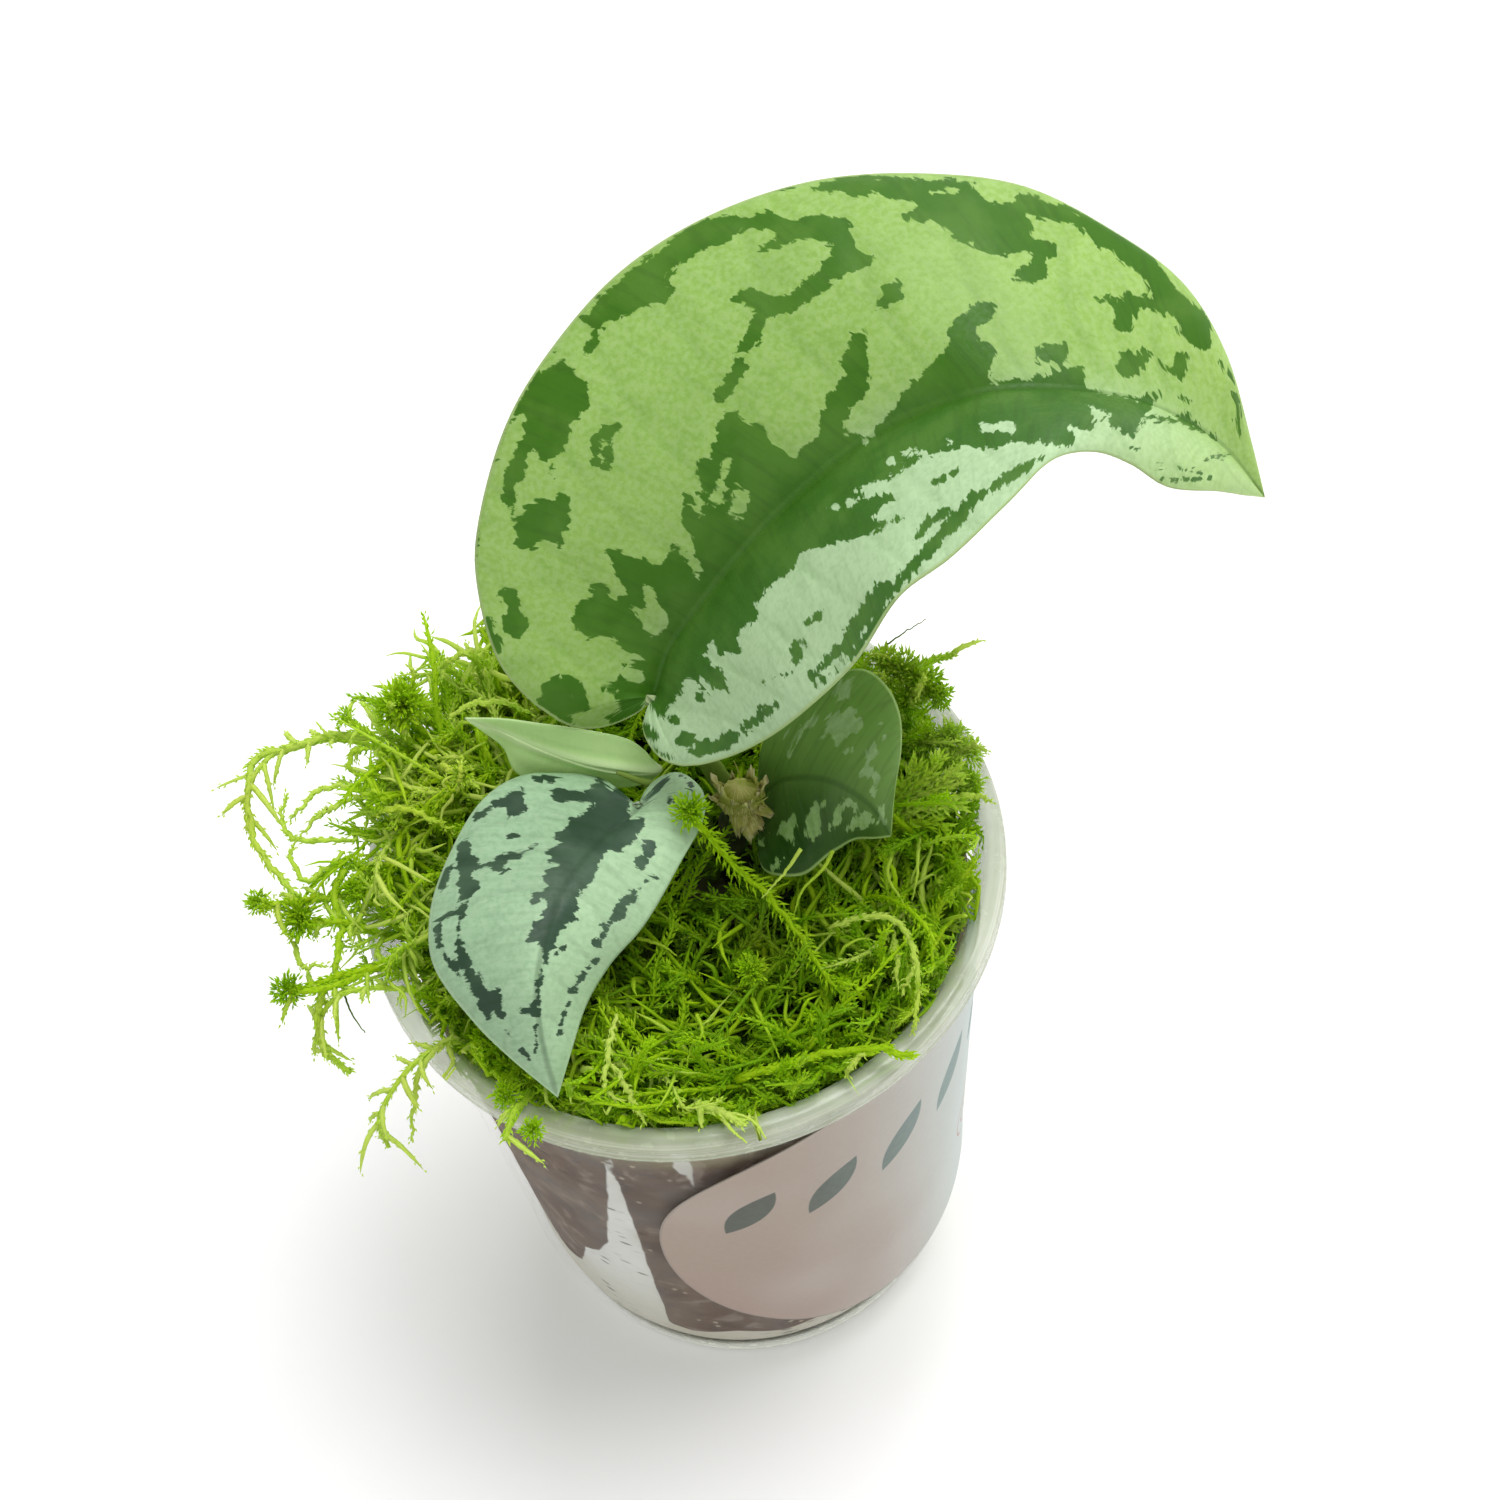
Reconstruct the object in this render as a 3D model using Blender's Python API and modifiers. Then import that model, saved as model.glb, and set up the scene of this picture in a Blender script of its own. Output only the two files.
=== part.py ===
"""Satin pothos in a clear cup of moss.

The cup stands on the plane z = 0 with its centre on the origin. +X is the viewer's right,
+Y points away from the viewer and +Z is up. Lengths are in millimetres and become metres in mm().
"""

import math

import bmesh
import bpy
import numpy as np
from mathutils import Vector

for old in list(bpy.data.objects):
    bpy.data.objects.remove(old, do_unlink=True)

# Cup
CUP_STEPS = 40
FOOT_RADIUS = 21.2
FOOT_HEIGHT = 2.6
SHOULDER_RADIUS = 24.3
SHOULDER_HEIGHT = 15.0
NECK_RADIUS = 28.5
NECK_HEIGHT = 64.0
RIM_RADIUS = 31.0
RIM_TOP = 67.2
WALL = 0.8
FLOOR = 1.2

# Label, an oval sticker round the wall
LABEL_MIDDLE_DEG = 42.0
LABEL_HALF_DEG = 64.6
LABEL_MIDDLE_Z = 35.0
LABEL_HALF_Z = 26.0
LABEL_ROUNDNESS = 2.2
LABEL_THICKNESS = 0.4

# Potting mix
SUBSTRATE_TOP = 60.5
GAP = 0.3

# Moss
MOSS_TOP = 66.5
MOUND_AT = (-19.0, 13.0)
MOUND_RISE = 6.5
MOUND_REACH = 9.0
HOLLOW_AT = (5.0, 0.6)
HOLLOW_RADIUS = 5.6
SHOOT_COUNT = 150
SHOOT_RADIUS = 0.62

# Stem
STEM_PATH = [(5.2, 0.4, 42.0), (5.2, 0.6, 56.0), (5.0, 0.8, 64.0), (5.1, 0.9, 69.0), (6.3, 0.4, 73.0)]
STEM_RADIUS = 1.6

# Leaves
BLADE_THICKNESS = 0.6

# A leaf is a spine from the petiole to the tip and two margins from the notch to the tip.
# Each margin point carries the share of the spine at which its vein leaves, 0 for the lobes.
LARGE = {
    "spine": [
        (0.5, 6.0, 86.0),
        (2.8, 8.0, 90.0),
        (6.5, 9.0, 94.5),
        (12.5, 10.5, 100.5),
        (18.0, 11.5, 105.0),
        (25.0, 12.5, 109.0),
        (34.5, 11.5, 112.5),
        (43.0, 10.0, 111.5),
        (48.5, 10.0, 108.0),
        (54.5, 9.0, 102.0),
        (58.5, 7.0, 95.0),
    ],
    "left": [
        (-1.0, 5.4, 85.0, 0.0),
        (-5.5, 5.5, 84.0, 0.0),
        (-8.5, 6.0, 85.5, 0.0),
        (-12.5, 10.0, 90.0, 0.02),
        (-13.0, 16.5, 96.0, 0.08),
        (-11.5, 20.0, 100.0, 0.15),
        (-7.0, 25.5, 106.0, 0.25),
        (-1.0, 30.0, 110.0, 0.34),
        (6.0, 33.5, 113.5, 0.43),
        (14.5, 35.5, 116.0, 0.52),
        (24.0, 35.5, 117.5, 0.61),
        (34.0, 33.5, 117.5, 0.70),
        (42.5, 31.0, 116.0, 0.77),
        (49.0, 26.5, 113.5, 0.83),
        (54.5, 21.5, 110.0, 0.89),
        (57.0, 16.0, 106.0, 0.94),
        (58.0, 10.0, 99.5, 0.98),
    ],
    "right": [
        (-1.0, 3.0, 86.0, 0.0),
        (-0.2, -1.0, 86.8, 0.0),
        (2.0, -3.7, 88.3, 0.0),
        (5.5, -6.0, 91.5, 0.02),
        (9.5, -9.0, 97.5, 0.10),
        (13.0, -11.5, 104.3, 0.20),
        (17.5, -12.0, 110.4, 0.30),
        (22.0, -10.5, 116.0, 0.42),
        (26.5, -9.5, 118.2, 0.50),
        (32.0, -6.7, 120.2, 0.60),
        (36.5, -3.5, 120.4, 0.68),
        (40.7, -1.2, 117.4, 0.76),
        (44.2, -0.2, 113.4, 0.82),
        (47.5, 0.0, 109.0, 0.88),
        (53.0, 2.5, 103.5, 0.94),
    ],
    "lift": (0.0, -0.1, 1.0),
    "bulge": 1.6,
    "stations": 22,
    "columns": 6,
    "petiole": [(5.8, 3.6, 63.0), (5.4, 5.1, 70.0), (3.0, 6.2, 78.0)],
    "petiole_radius": 1.25,
}
FRONT = {
    "spine": [
        (-3.0, -1.0, 79.0),
        (-7.5, -6.0, 82.0),
        (-11.0, -10.5, 83.0),
        (-13.5, -15.0, 82.5),
        (-15.0, -18.5, 81.0),
        (-15.5, -20.5, 78.5),
        (-15.7, -22.5, 75.5),
        (-15.5, -25.0, 71.5),
    ],
    "left": [
        (-3.7, 1.0, 78.0, 0.0),
        (-5.5, 3.3, 78.5, 0.0),
        (-8.0, 4.0, 79.5, 0.0),
        (-13.0, 4.0, 81.0, 0.02),
        (-17.0, 1.5, 82.0, 0.12),
        (-21.0, -4.0, 82.0, 0.28),
        (-23.5, -9.5, 81.5, 0.44),
        (-24.0, -13.5, 80.0, 0.56),
        (-21.5, -18.5, 77.0, 0.73),
        (-19.0, -21.5, 74.5, 0.86),
    ],
    "right": [
        (-2.0, 0.8, 79.0, 0.0),
        (-0.4, 1.6, 79.5, 0.0),
        (1.5, 1.3, 80.0, 0.0),
        (3.2, -1.3, 80.0, 0.0),
        (2.8, -3.7, 79.5, 0.03),
        (-0.2, -7.5, 78.5, 0.14),
        (-5.0, -13.0, 77.5, 0.38),
        (-8.5, -15.5, 76.5, 0.54),
        (-11.0, -18.0, 75.5, 0.68),
        (-13.2, -21.5, 74.0, 0.84),
    ],
    "lift": (-0.1, -0.2, 1.0),
    "bulge": 0.9,
    "stations": 14,
    "columns": 4,
    "petiole": [(2.6, 0.1, 63.0), (1.8, 0.5, 70.0), (-0.4, 0.2, 75.4)],
    "petiole_radius": 0.85,
}
RIGHT = {
    "spine": [
        (8.6, 3.2, 70.5),
        (11.0, 0.8, 76.0),
        (15.0, -3.0, 79.5),
        (18.0, -5.5, 78.0),
        (19.5, -6.5, 73.5),
    ],
    "left": [
        (8.8, 4.6, 72.5, 0.0),
        (10.0, 5.2, 77.0, 0.0),
        (13.8, 5.5, 82.0, 0.06),
        (18.5, 5.5, 84.5, 0.30),
        (20.5, 5.0, 84.5, 0.42),
        (22.0, 3.2, 83.5, 0.55),
        (22.5, 1.0, 82.0, 0.66),
        (22.0, -1.2, 80.0, 0.78),
        (20.8, -3.5, 77.5, 0.88),
    ],
    "right": [
        (8.9, 1.4, 70.9, 0.0),
        (7.8, -1.6, 72.0, 0.0),
        (7.0, -4.6, 72.6, 0.0),
        (7.4, -6.8, 72.8, 0.04),
        (10.5, -8.4, 73.5, 0.26),
        (13.8, -7.4, 74.6, 0.55),
        (16.0, -6.6, 74.6, 0.74),
        (18.0, -6.6, 74.0, 0.88),
    ],
    "lift": (-0.2, 0.0, 1.0),
    "bulge": 0.5,
    "stations": 12,
    "columns": 4,
    "petiole": [(7.4, 1.2, 62.0), (8.2, 2.9, 66.5)],
    "petiole_radius": 0.8,
}
PALE = {
    "spine": [
        (-0.6, 4.0, 77.5),
        (-5.6, 4.4, 80.0),
        (-10.2, 6.3, 81.5),
        (-14.0, 8.3, 83.0),
        (-17.0, 10.0, 83.5),
    ],
    "left": [
        (-0.8, 3.8, 76.6, 0.0),
        (-2.5, 4.0, 75.6, 0.05),
        (-6.5, 5.3, 75.2, 0.25),
        (-11.0, 5.8, 76.6, 0.52),
        (-13.4, 6.3, 78.7, 0.68),
        (-14.0, 7.6, 81.0, 0.80),
        (-15.4, 8.6, 82.5, 0.91),
    ],
    "right": [
        (-0.8, 4.4, 78.6, 0.0),
        (-2.0, 5.2, 80.8, 0.05),
        (-4.5, 5.7, 82.6, 0.24),
        (-7.6, 6.2, 84.0, 0.45),
        (-13.3, 8.2, 84.6, 0.78),
    ],
    "lift": (0.3, 0.9, -0.1),
    "bulge": -0.5,
    "stations": 11,
    "columns": 3,
    "petiole": [(3.35, 2.45, 62.0), (2.7, 3.1, 70.0), (1.2, 3.2, 74.8)],
    "petiole_radius": 0.75,
}

# Strands that hang over the rim or stand out of the outline, by hand
LONG_STRANDS = [
    [(-22, 12, 67), (-26.5, 15.5, 73.5), (-31, 15, 78), (-35.5, 14, 79), (-38.5, 11, 78.5), (-39.5, 7, 77)],
    [(-24, 2, 66), (-28.5, 1.5, 70.5), (-34, 0, 73.5), (-38.5, -0.5, 75.5)],
    [(-25, -2, 66), (-29.5, -2.5, 70), (-33, -2.5, 73), (-36, -2.2, 74)],
    [(-24.5, -6, 66), (-28.5, -6.2, 69.8), (-33.6, -8, 71), (-38.3, -8, 71.8)],
    [(-24, -9, 66), (-28.6, -9, 69.8), (-34, -9, 70.5), (-36.8, -9.3, 66.5), (-37, -9.8, 61.5)],
    [(-20, 13, 68), (-23, 14, 76), (-24, 14.3, 82)],
    [(-21.5, 13, 68), (-26, 14.5, 76), (-28.5, 15.2, 80)],
    [(-17, 16, 67), (-20.5, 17, 75), (-22.9, 17.5, 80)],
    [(-13, 18, 66), (-16, 19, 74), (-18.7, 19.8, 80)],
    [(-10, 19, 66), (-13.5, 20, 73), (-15.7, 20.5, 79)],
    [(20, 11, 65), (24, 9.5, 71), (26.2, 8.6, 76)],
    [(22, 5, 65), (26.5, 3.5, 69.8), (29.6, 2.6, 72)],
    [(-22, -14, 65), (-25.5, -16, 69.5), (-29, -18, 69.8), (-32.4, -20, 66), (-32.6, -20.5, 61)],
    [(-17, -20, 65), (-19.5, -24, 69.6), (-21, -27, 69.5)],
    [(-2.5, -24, 65), (-3, -27.5, 69.2), (0.5, -30.5, 69.6)],
    [(24, 12, 66), (27, 14, 70), (30, 13, 73)],
]


def mm(point):
    return Vector(point) / 1000.0


def collection(name):
    made = bpy.data.collections.new(name)
    bpy.context.scene.collection.children.link(made)
    return made


PLANT = collection("SatinPothos")
HELPERS = collection("Cutters")


def material(name, colour, roughness, alpha=1.0):
    made = bpy.data.materials.new(name)
    made.use_nodes = True
    shader = made.node_tree.nodes["Principled BSDF"]
    shader.inputs["Base Color"].default_value = (*colour, 1.0)
    shader.inputs["Roughness"].default_value = roughness
    shader.inputs["Alpha"].default_value = alpha
    made.diffuse_color = (*colour, alpha)
    return made


CLEAR = material("clear_plastic", (0.80, 0.82, 0.81), 0.25, 0.5)
PAPER = material("label_paper", (0.86, 0.84, 0.83), 0.5)
SOIL = material("coir_mix", (0.20, 0.14, 0.11), 0.9)
MOSS = material("live_moss", (0.30, 0.50, 0.05), 0.7)
BARK = material("stem_skin", (0.10, 0.12, 0.06), 0.7)
HUSK = material("dry_sheath", (0.55, 0.44, 0.20), 0.85)
LEAF_LIGHT = material("leaf_large", (0.36, 0.58, 0.25), 0.45)
LEAF_SILVER = material("leaf_front", (0.38, 0.60, 0.47), 0.45)
LEAF_DARK = material("leaf_right", (0.10, 0.24, 0.08), 0.45)
LEAF_YOUNG = material("leaf_pale", (0.46, 0.66, 0.30), 0.5)


def add_object(name, mesh, where, skin=None):
    made = bpy.data.objects.new(name, mesh)
    where.objects.link(made)
    if skin:
        mesh.materials.append(skin)
    return made


def helper(obj):
    obj.hide_render = True
    obj.display_type = "WIRE"
    return obj


def mesh_of(name, points, faces):
    mesh = bpy.data.meshes.new(name)
    mesh.from_pydata([mm(p) for p in points], [], faces)
    mesh.validate()
    shape = bmesh.new()
    shape.from_mesh(mesh)
    bmesh.ops.recalc_face_normals(shape, faces=shape.faces)
    shape.to_mesh(mesh)
    shape.free()
    return mesh


def boolean(target, operation, other, solver="EXACT"):
    step = target.modifiers.new(operation.title(), "BOOLEAN")
    step.operation = operation
    step.solver = solver
    step.object = other


def turned(name, profile, skin, steps=CUP_STEPS):
    """A solid of revolution from a closed loop of (radius, height)."""
    mesh = bpy.data.meshes.new(name)
    count = len(profile)
    on_axis = profile[0][0] == 0 and profile[-1][0] == 0
    edges = [(i, i + 1) for i in range(count - 1)]
    if not on_axis:
        edges.append((count - 1, 0))
    mesh.from_pydata([mm((r, 0, z)) for r, z in profile], edges, [])
    obj = add_object(name, mesh, PLANT, skin)
    screw = obj.modifiers.new("Screw", "SCREW")
    screw.steps = steps
    screw.render_steps = steps
    screw.use_merge_vertices = True
    screw.merge_threshold = 0.00001
    screw.use_normal_calculate = True
    return obj


def wall_radius(z):
    """Outer radius of the cup wall at a height."""
    if z <= FOOT_HEIGHT:
        return FOOT_RADIUS
    if z < SHOULDER_HEIGHT:
        drop = (z - FOOT_HEIGHT) / (SHOULDER_HEIGHT - FOOT_HEIGHT)
        turn = math.acos(1 - drop)
        return FOOT_RADIUS + (SHOULDER_RADIUS - FOOT_RADIUS) * math.sin(turn)
    rise = (z - SHOULDER_HEIGHT) / (NECK_HEIGHT - SHOULDER_HEIGHT)
    return SHOULDER_RADIUS + (NECK_RADIUS - SHOULDER_RADIUS) * rise


def cup():
    heights = [2.6, 3.4, 4.8, 7.0, 10.0, 15.0, NECK_HEIGHT]
    outer = [(0, 0), (FOOT_RADIUS, 0)]
    outer += [(wall_radius(z), z) for z in heights]
    rim = [
        (RIM_RADIUS - 0.6, NECK_HEIGHT - 0.2),
        (RIM_RADIUS, NECK_HEIGHT + 0.6),
        (RIM_RADIUS, RIM_TOP - 1.0),
        (RIM_RADIUS - 0.6, RIM_TOP - 0.2),
        (RIM_RADIUS - 1.5, RIM_TOP),
        (NECK_RADIUS - 0.1, RIM_TOP - 0.4),
        (NECK_RADIUS - 0.7, NECK_HEIGHT + 0.6),
    ]
    inner = [(wall_radius(z) - WALL, z) for z in (62.0, 15.0, 10.0, 7.0, 4.8)]
    inner += [(FOOT_RADIUS - 1.0, FLOOR + 0.6), (FOOT_RADIUS - 1.8, FLOOR), (0, FLOOR)]
    return turned("cup", outer + rim + inner, CLEAR)


def substrate():
    heights = [5.6, 8.0, 11.0, 15.0, SUBSTRATE_TOP]
    side = [(wall_radius(z) - WALL - GAP - 0.1, z) for z in heights]
    lower = [(0, FLOOR + GAP), (FOOT_RADIUS - 2.4, FLOOR + GAP), (FOOT_RADIUS - 1.2, FLOOR + 1.6)]
    upper = [(15.0, SUBSTRATE_TOP + 0.4), (0, SUBSTRATE_TOP)]
    body = turned("substrate", lower + side + upper, SOIL, 36)
    hole = helper(tube("stem_hole", STEM_PATH[:3], STEM_RADIUS + GAP, HELPERS, None, 3, 1.0))
    boolean(body, "DIFFERENCE", hole)
    return body


def label():
    """Upright rows of a rounded oval laid on the wall, then given thickness outwards."""
    columns, rows = 22, 6
    points = []
    faces = []
    grid = []
    for i in range(columns + 1):
        across = -math.cos(math.pi * i / columns)
        tall = max(0.0, 1 - abs(across) ** LABEL_ROUNDNESS) ** (1 / LABEL_ROUNDNESS)
        angle = math.radians(LABEL_MIDDLE_DEG + LABEL_HALF_DEG * across)
        column = []
        for j in range(rows + 1):
            if j == 0 or 0 < i < columns:
                z = LABEL_MIDDLE_Z + LABEL_HALF_Z * tall * (2 * j / rows - 1)
                r = wall_radius(z) + GAP
                points.append((r * math.sin(angle), -r * math.cos(angle), z))
            column.append(len(points) - 1)
        grid.append(column)
    for west, east in zip(grid[:-1], grid[1:]):
        for j in range(rows):
            for tri in ((west[j], east[j], east[j + 1]), (west[j], east[j + 1], west[j + 1])):
                if len(set(tri)) == 3:
                    faces.append(tri)
    mesh = bpy.data.meshes.new("label")
    mesh.from_pydata([mm(p) for p in points], [], faces)
    obj = add_object("label", mesh, PLANT, PAPER)
    solid = obj.modifiers.new("Solidify", "SOLIDIFY")
    solid.thickness = LABEL_THICKNESS / 1000
    solid.offset = 1.0
    return obj


def smooth_path(points, count):
    """A Catmull-Rom curve through the points, with the parameter by chord."""
    pts = np.array(points, float)
    step = np.sqrt(np.linalg.norm(np.diff(pts[:, :3], axis=0), axis=1)) + 1e-6
    knots = np.concatenate([[0], np.cumsum(step)])
    slopes = np.zeros_like(pts)
    grow = np.diff(pts, axis=0) / np.diff(knots)[:, None]
    slopes[0] = grow[0]
    slopes[-1] = grow[-1]
    before = np.diff(knots)[:-1, None]
    after = np.diff(knots)[1:, None]
    slopes[1:-1] = (grow[:-1] * after + grow[1:] * before) / (before + after)
    out = []
    for t in np.linspace(0, knots[-1], count):
        i = min(int(np.searchsorted(knots, t, side="right")) - 1, len(pts) - 2)
        span = knots[i + 1] - knots[i]
        u = (t - knots[i]) / span
        out.append(
            (2 * u**3 - 3 * u**2 + 1) * pts[i]
            + (u**3 - 2 * u**2 + u) * span * slopes[i]
            + (3 * u**2 - 2 * u**3) * pts[i + 1]
            + (u**3 - u**2) * span * slopes[i + 1]
        )
    return np.array(out)


def tube(name, path, radius, where, skin, around, taper):
    """A stalk from a beveled curve, turned into a mesh so that Booleans take it."""
    curve = bpy.data.curves.new(name, "CURVE")
    curve.dimensions = "3D"
    curve.bevel_depth = radius / 1000
    curve.bevel_resolution = around
    curve.use_fill_caps = True
    line = curve.splines.new("POLY")
    pts = smooth_path(path, 3 * len(path) - 2)
    line.points.add(len(pts) - 1)
    for k, p in enumerate(pts):
        line.points[k].co = (*mm(p), 1)
        line.points[k].radius = 1 + (taper - 1) * k / (len(pts) - 1)
    guide = bpy.data.objects.new(name + "_guide", curve)
    where.objects.link(guide)
    bpy.context.view_layer.update()
    graph = bpy.context.evaluated_depsgraph_get()
    mesh = bpy.data.meshes.new_from_object(guide.evaluated_get(graph))
    bpy.data.objects.remove(guide, do_unlink=True)
    shape = bmesh.new()
    shape.from_mesh(mesh)
    bmesh.ops.remove_doubles(shape, verts=shape.verts, dist=1e-6)
    bmesh.ops.recalc_face_normals(shape, faces=shape.faces)
    shape.to_mesh(mesh)
    shape.free()
    mesh.materials.clear()
    return add_object(name, mesh, where, skin)


def margin_stations(margin, spine, lobe_count, shares):
    """Points of one margin: some round the lobe, then one for each share of the spine."""
    ends = [(*spine[0], 0.0)] + list(margin) + [(*spine[-1], 1.0)]
    fine = smooth_path(ends, 600)
    feet = np.maximum.accumulate(np.clip(fine[:, 3], 0, 1))
    shoulder = max(k for k, row in enumerate(ends) if row[3] == 0.0)
    nearest = np.linalg.norm(fine[:, :3] - np.array(ends[shoulder][:3]), axis=1)
    turn = int(np.argmin(nearest))
    lobe = np.linspace(0, turn, lobe_count, endpoint=False)
    rest = np.interp(shares, feet[turn:] + 1e-9 * np.arange(600 - turn), np.arange(turn, 600))
    where = np.concatenate([lobe, rest])
    return np.stack([np.interp(where, np.arange(600), fine[:, k]) for k in range(3)], 1)


def blade(name, leaf, skin):
    """Rulings from the spine to both margins, split into triangles, then given thickness."""
    columns = leaf["columns"]
    lobe_count = 5
    shares = np.linspace(0, 1, leaf["stations"])
    line = smooth_path(leaf["spine"], 200)
    run = np.concatenate([[0], np.cumsum(np.linalg.norm(np.diff(line, axis=0), axis=1))])
    run /= run[-1]
    feet = np.concatenate([np.zeros(lobe_count), shares])
    inner = np.stack([np.interp(feet, run, line[:, k]) for k in range(3)], 1)
    lift = np.array(leaf["lift"]) / np.linalg.norm(leaf["lift"])
    points = []
    index = {}

    def vertex(p):
        key = tuple(np.round(p, 3))
        if key not in index:
            index[key] = len(points)
            points.append(tuple(p))
        return index[key]

    faces = []
    for side in ("left", "right"):
        outer = margin_stations(leaf[side], leaf["spine"], lobe_count, shares)
        grid = []
        for a, b in zip(inner, outer):
            reach = min(1.0, np.linalg.norm(b - a) / 12.0)
            row = []
            for j in range(columns + 1):
                s = j / columns
                arch = leaf["bulge"] * reach * 4 * s * (1 - s)
                row.append(vertex(a + (b - a) * s + lift * arch))
            grid.append(row)
        for low, high in zip(grid[:-1], grid[1:]):
            for j in range(columns):
                corners = (low[j], low[j + 1], high[j + 1], high[j])
                for tri in ((corners[0], corners[1], corners[2]), (corners[0], corners[2], corners[3])):
                    if len(set(tri)) == 3:
                        faces.append(tri if side == "left" else tri[::-1])
    mesh = bpy.data.meshes.new(name)
    mesh.from_pydata([mm(p) for p in points], [], faces)
    mesh.update()
    facing = sum(Vector(lift) @ f.normal * f.area for f in mesh.polygons)
    if facing < 0:
        mesh.flip_normals()
    obj = add_object(name, mesh, PLANT, skin)
    solid = obj.modifiers.new("Solidify", "SOLIDIFY")
    solid.thickness = BLADE_THICKNESS / 1000
    solid.offset = -1.0
    under = [inner[lobe_count] - 0.75 * lift]
    for share, depth in ((0.08, 0.62), (0.2, 0.5)):
        on_spine = np.array([np.interp(share, run, line[:, k]) for k in range(3)])
        under.append(on_spine - depth * lift)
    path = leaf["petiole"] + [tuple(p) for p in under]
    stalk = tube(name + "_petiole", path, leaf["petiole_radius"], HELPERS, None, 1, 0.3)
    # The exact solver returns nothing for a blade this thin.
    boolean(obj, "UNION", helper(stalk), "MANIFOLD")
    return obj


def roof(x, y):
    """The height that moss stays under, where a leaf hangs over it."""
    over = [((-11, -9), 15, 72.5), ((14, -2), 10.5, 69.0), ((-8, 6), 9, 72.5), ((2, 2), 8, 70.0)]
    return min([80.0] + [z for (a, b), r, z in over if math.hypot(x - a, y - b) < r])


def moss_height(x, y):
    away = math.hypot(x - MOUND_AT[0], y - MOUND_AT[1]) / MOUND_REACH
    return MOSS_TOP + MOUND_RISE * math.exp(-away * away)


def spike(path, radius):
    """A three-sided tapering sprig that ends in a point."""
    pts = smooth_path(path, max(4, len(path)))
    verts = []
    for k, p in enumerate(pts[:-1]):
        ahead = pts[k + 1] - pts[max(k - 1, 0)]
        ahead /= np.linalg.norm(ahead)
        side = np.cross(ahead, (0.31, 0.17, 0.93) if abs(ahead[2]) < 0.9 else (1.0, 0.2, 0.0))
        side /= np.linalg.norm(side)
        third = np.cross(ahead, side)
        width = radius * (1 - 0.45 * k / (len(pts) - 1))
        for turn in (0.0, 2.0944, 4.1888):
            verts.append(p + width * (math.cos(turn) * side + math.sin(turn) * third))
    verts.append(pts[-1])
    faces = [(0, 1, 2)]
    rings = len(pts) - 1
    for k in range(rings - 1):
        for j in range(3):
            a, b = 3 * k + j, 3 * k + (j + 1) % 3
            faces += [(a, b, b + 3), (a, b + 3, a + 3)]
    last = 3 * (rings - 1)
    faces += [(last + j, last + (j + 1) % 3, 3 * rings) for j in range(3)]
    return verts, faces


def star(centre, axis, size, rng):
    """The leafy head of a sprig: a few-pointed star, thick in the middle."""
    axis = np.array(axis, float) / np.linalg.norm(axis)
    side = np.cross(axis, (0.2, 0.9, 0.1))
    side /= np.linalg.norm(side)
    third = np.cross(axis, side)
    start = rng.uniform(0, 6.28)
    verts = []
    for k in range(10):
        turn = start + math.pi * k / 5
        reach = size if k % 2 == 0 else 0.42 * size
        rise = 0.35 * size if k % 2 == 0 else 0.0
        verts.append(centre + reach * (math.cos(turn) * side + math.sin(turn) * third) + rise * axis)
    verts += [centre - 0.6 * size * axis, centre + 0.55 * size * axis]
    faces = []
    for k in range(10):
        faces += [(k, (k + 1) % 10, 11), ((k + 1) % 10, k, 10)]
    return verts, faces


def fill_sealed_hollows(mesh):
    """Keeps the outer shell alone, so that pockets closed off by the join become solid."""
    shape = bmesh.new()
    shape.from_mesh(mesh)
    shells = []
    unseen = set(shape.faces)
    while unseen:
        edge_of_shell = [unseen.pop()]
        shell = list(edge_of_shell)
        while edge_of_shell:
            for edge in edge_of_shell.pop().edges:
                for face in edge.link_faces:
                    if face in unseen:
                        unseen.discard(face)
                        shell.append(face)
                        edge_of_shell.append(face)
        shells.append(shell)
    shells.sort(key=len, reverse=True)
    for shell in shells[1:]:
        bmesh.ops.delete(shape, geom=shell, context="FACES")
    shape.to_mesh(mesh)
    shape.free()


def fuse(name, core, pieces, skin):
    """One Boolean union of a core with a collection of pieces, applied, with the pieces removed.

    The exact solver leaves this many crossing sprigs in several bodies, so this is the other one.
    """
    joined = collection(name + "_pieces")
    for k, (verts, faces) in enumerate(pieces):
        part = add_object(f"{name}_piece{k}", mesh_of(f"{name}_piece{k}", verts, faces), joined)
        helper(part)
    obj = add_object(name, core, PLANT, skin)
    step = obj.modifiers.new("Union", "BOOLEAN")
    step.operation = "UNION"
    step.solver = "MANIFOLD"
    step.operand_type = "COLLECTION"
    step.collection = joined
    bpy.context.view_layer.update()
    graph = bpy.context.evaluated_depsgraph_get()
    mesh = bpy.data.meshes.new_from_object(obj.evaluated_get(graph))
    obj.modifiers.clear()
    fill_sealed_hollows(mesh)
    obj.data = mesh
    mesh.name = name
    mesh.materials.clear()
    mesh.materials.append(skin)
    for part in list(joined.objects):
        bpy.data.objects.remove(part, do_unlink=True)
    bpy.data.collections.remove(joined)
    return obj


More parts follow.
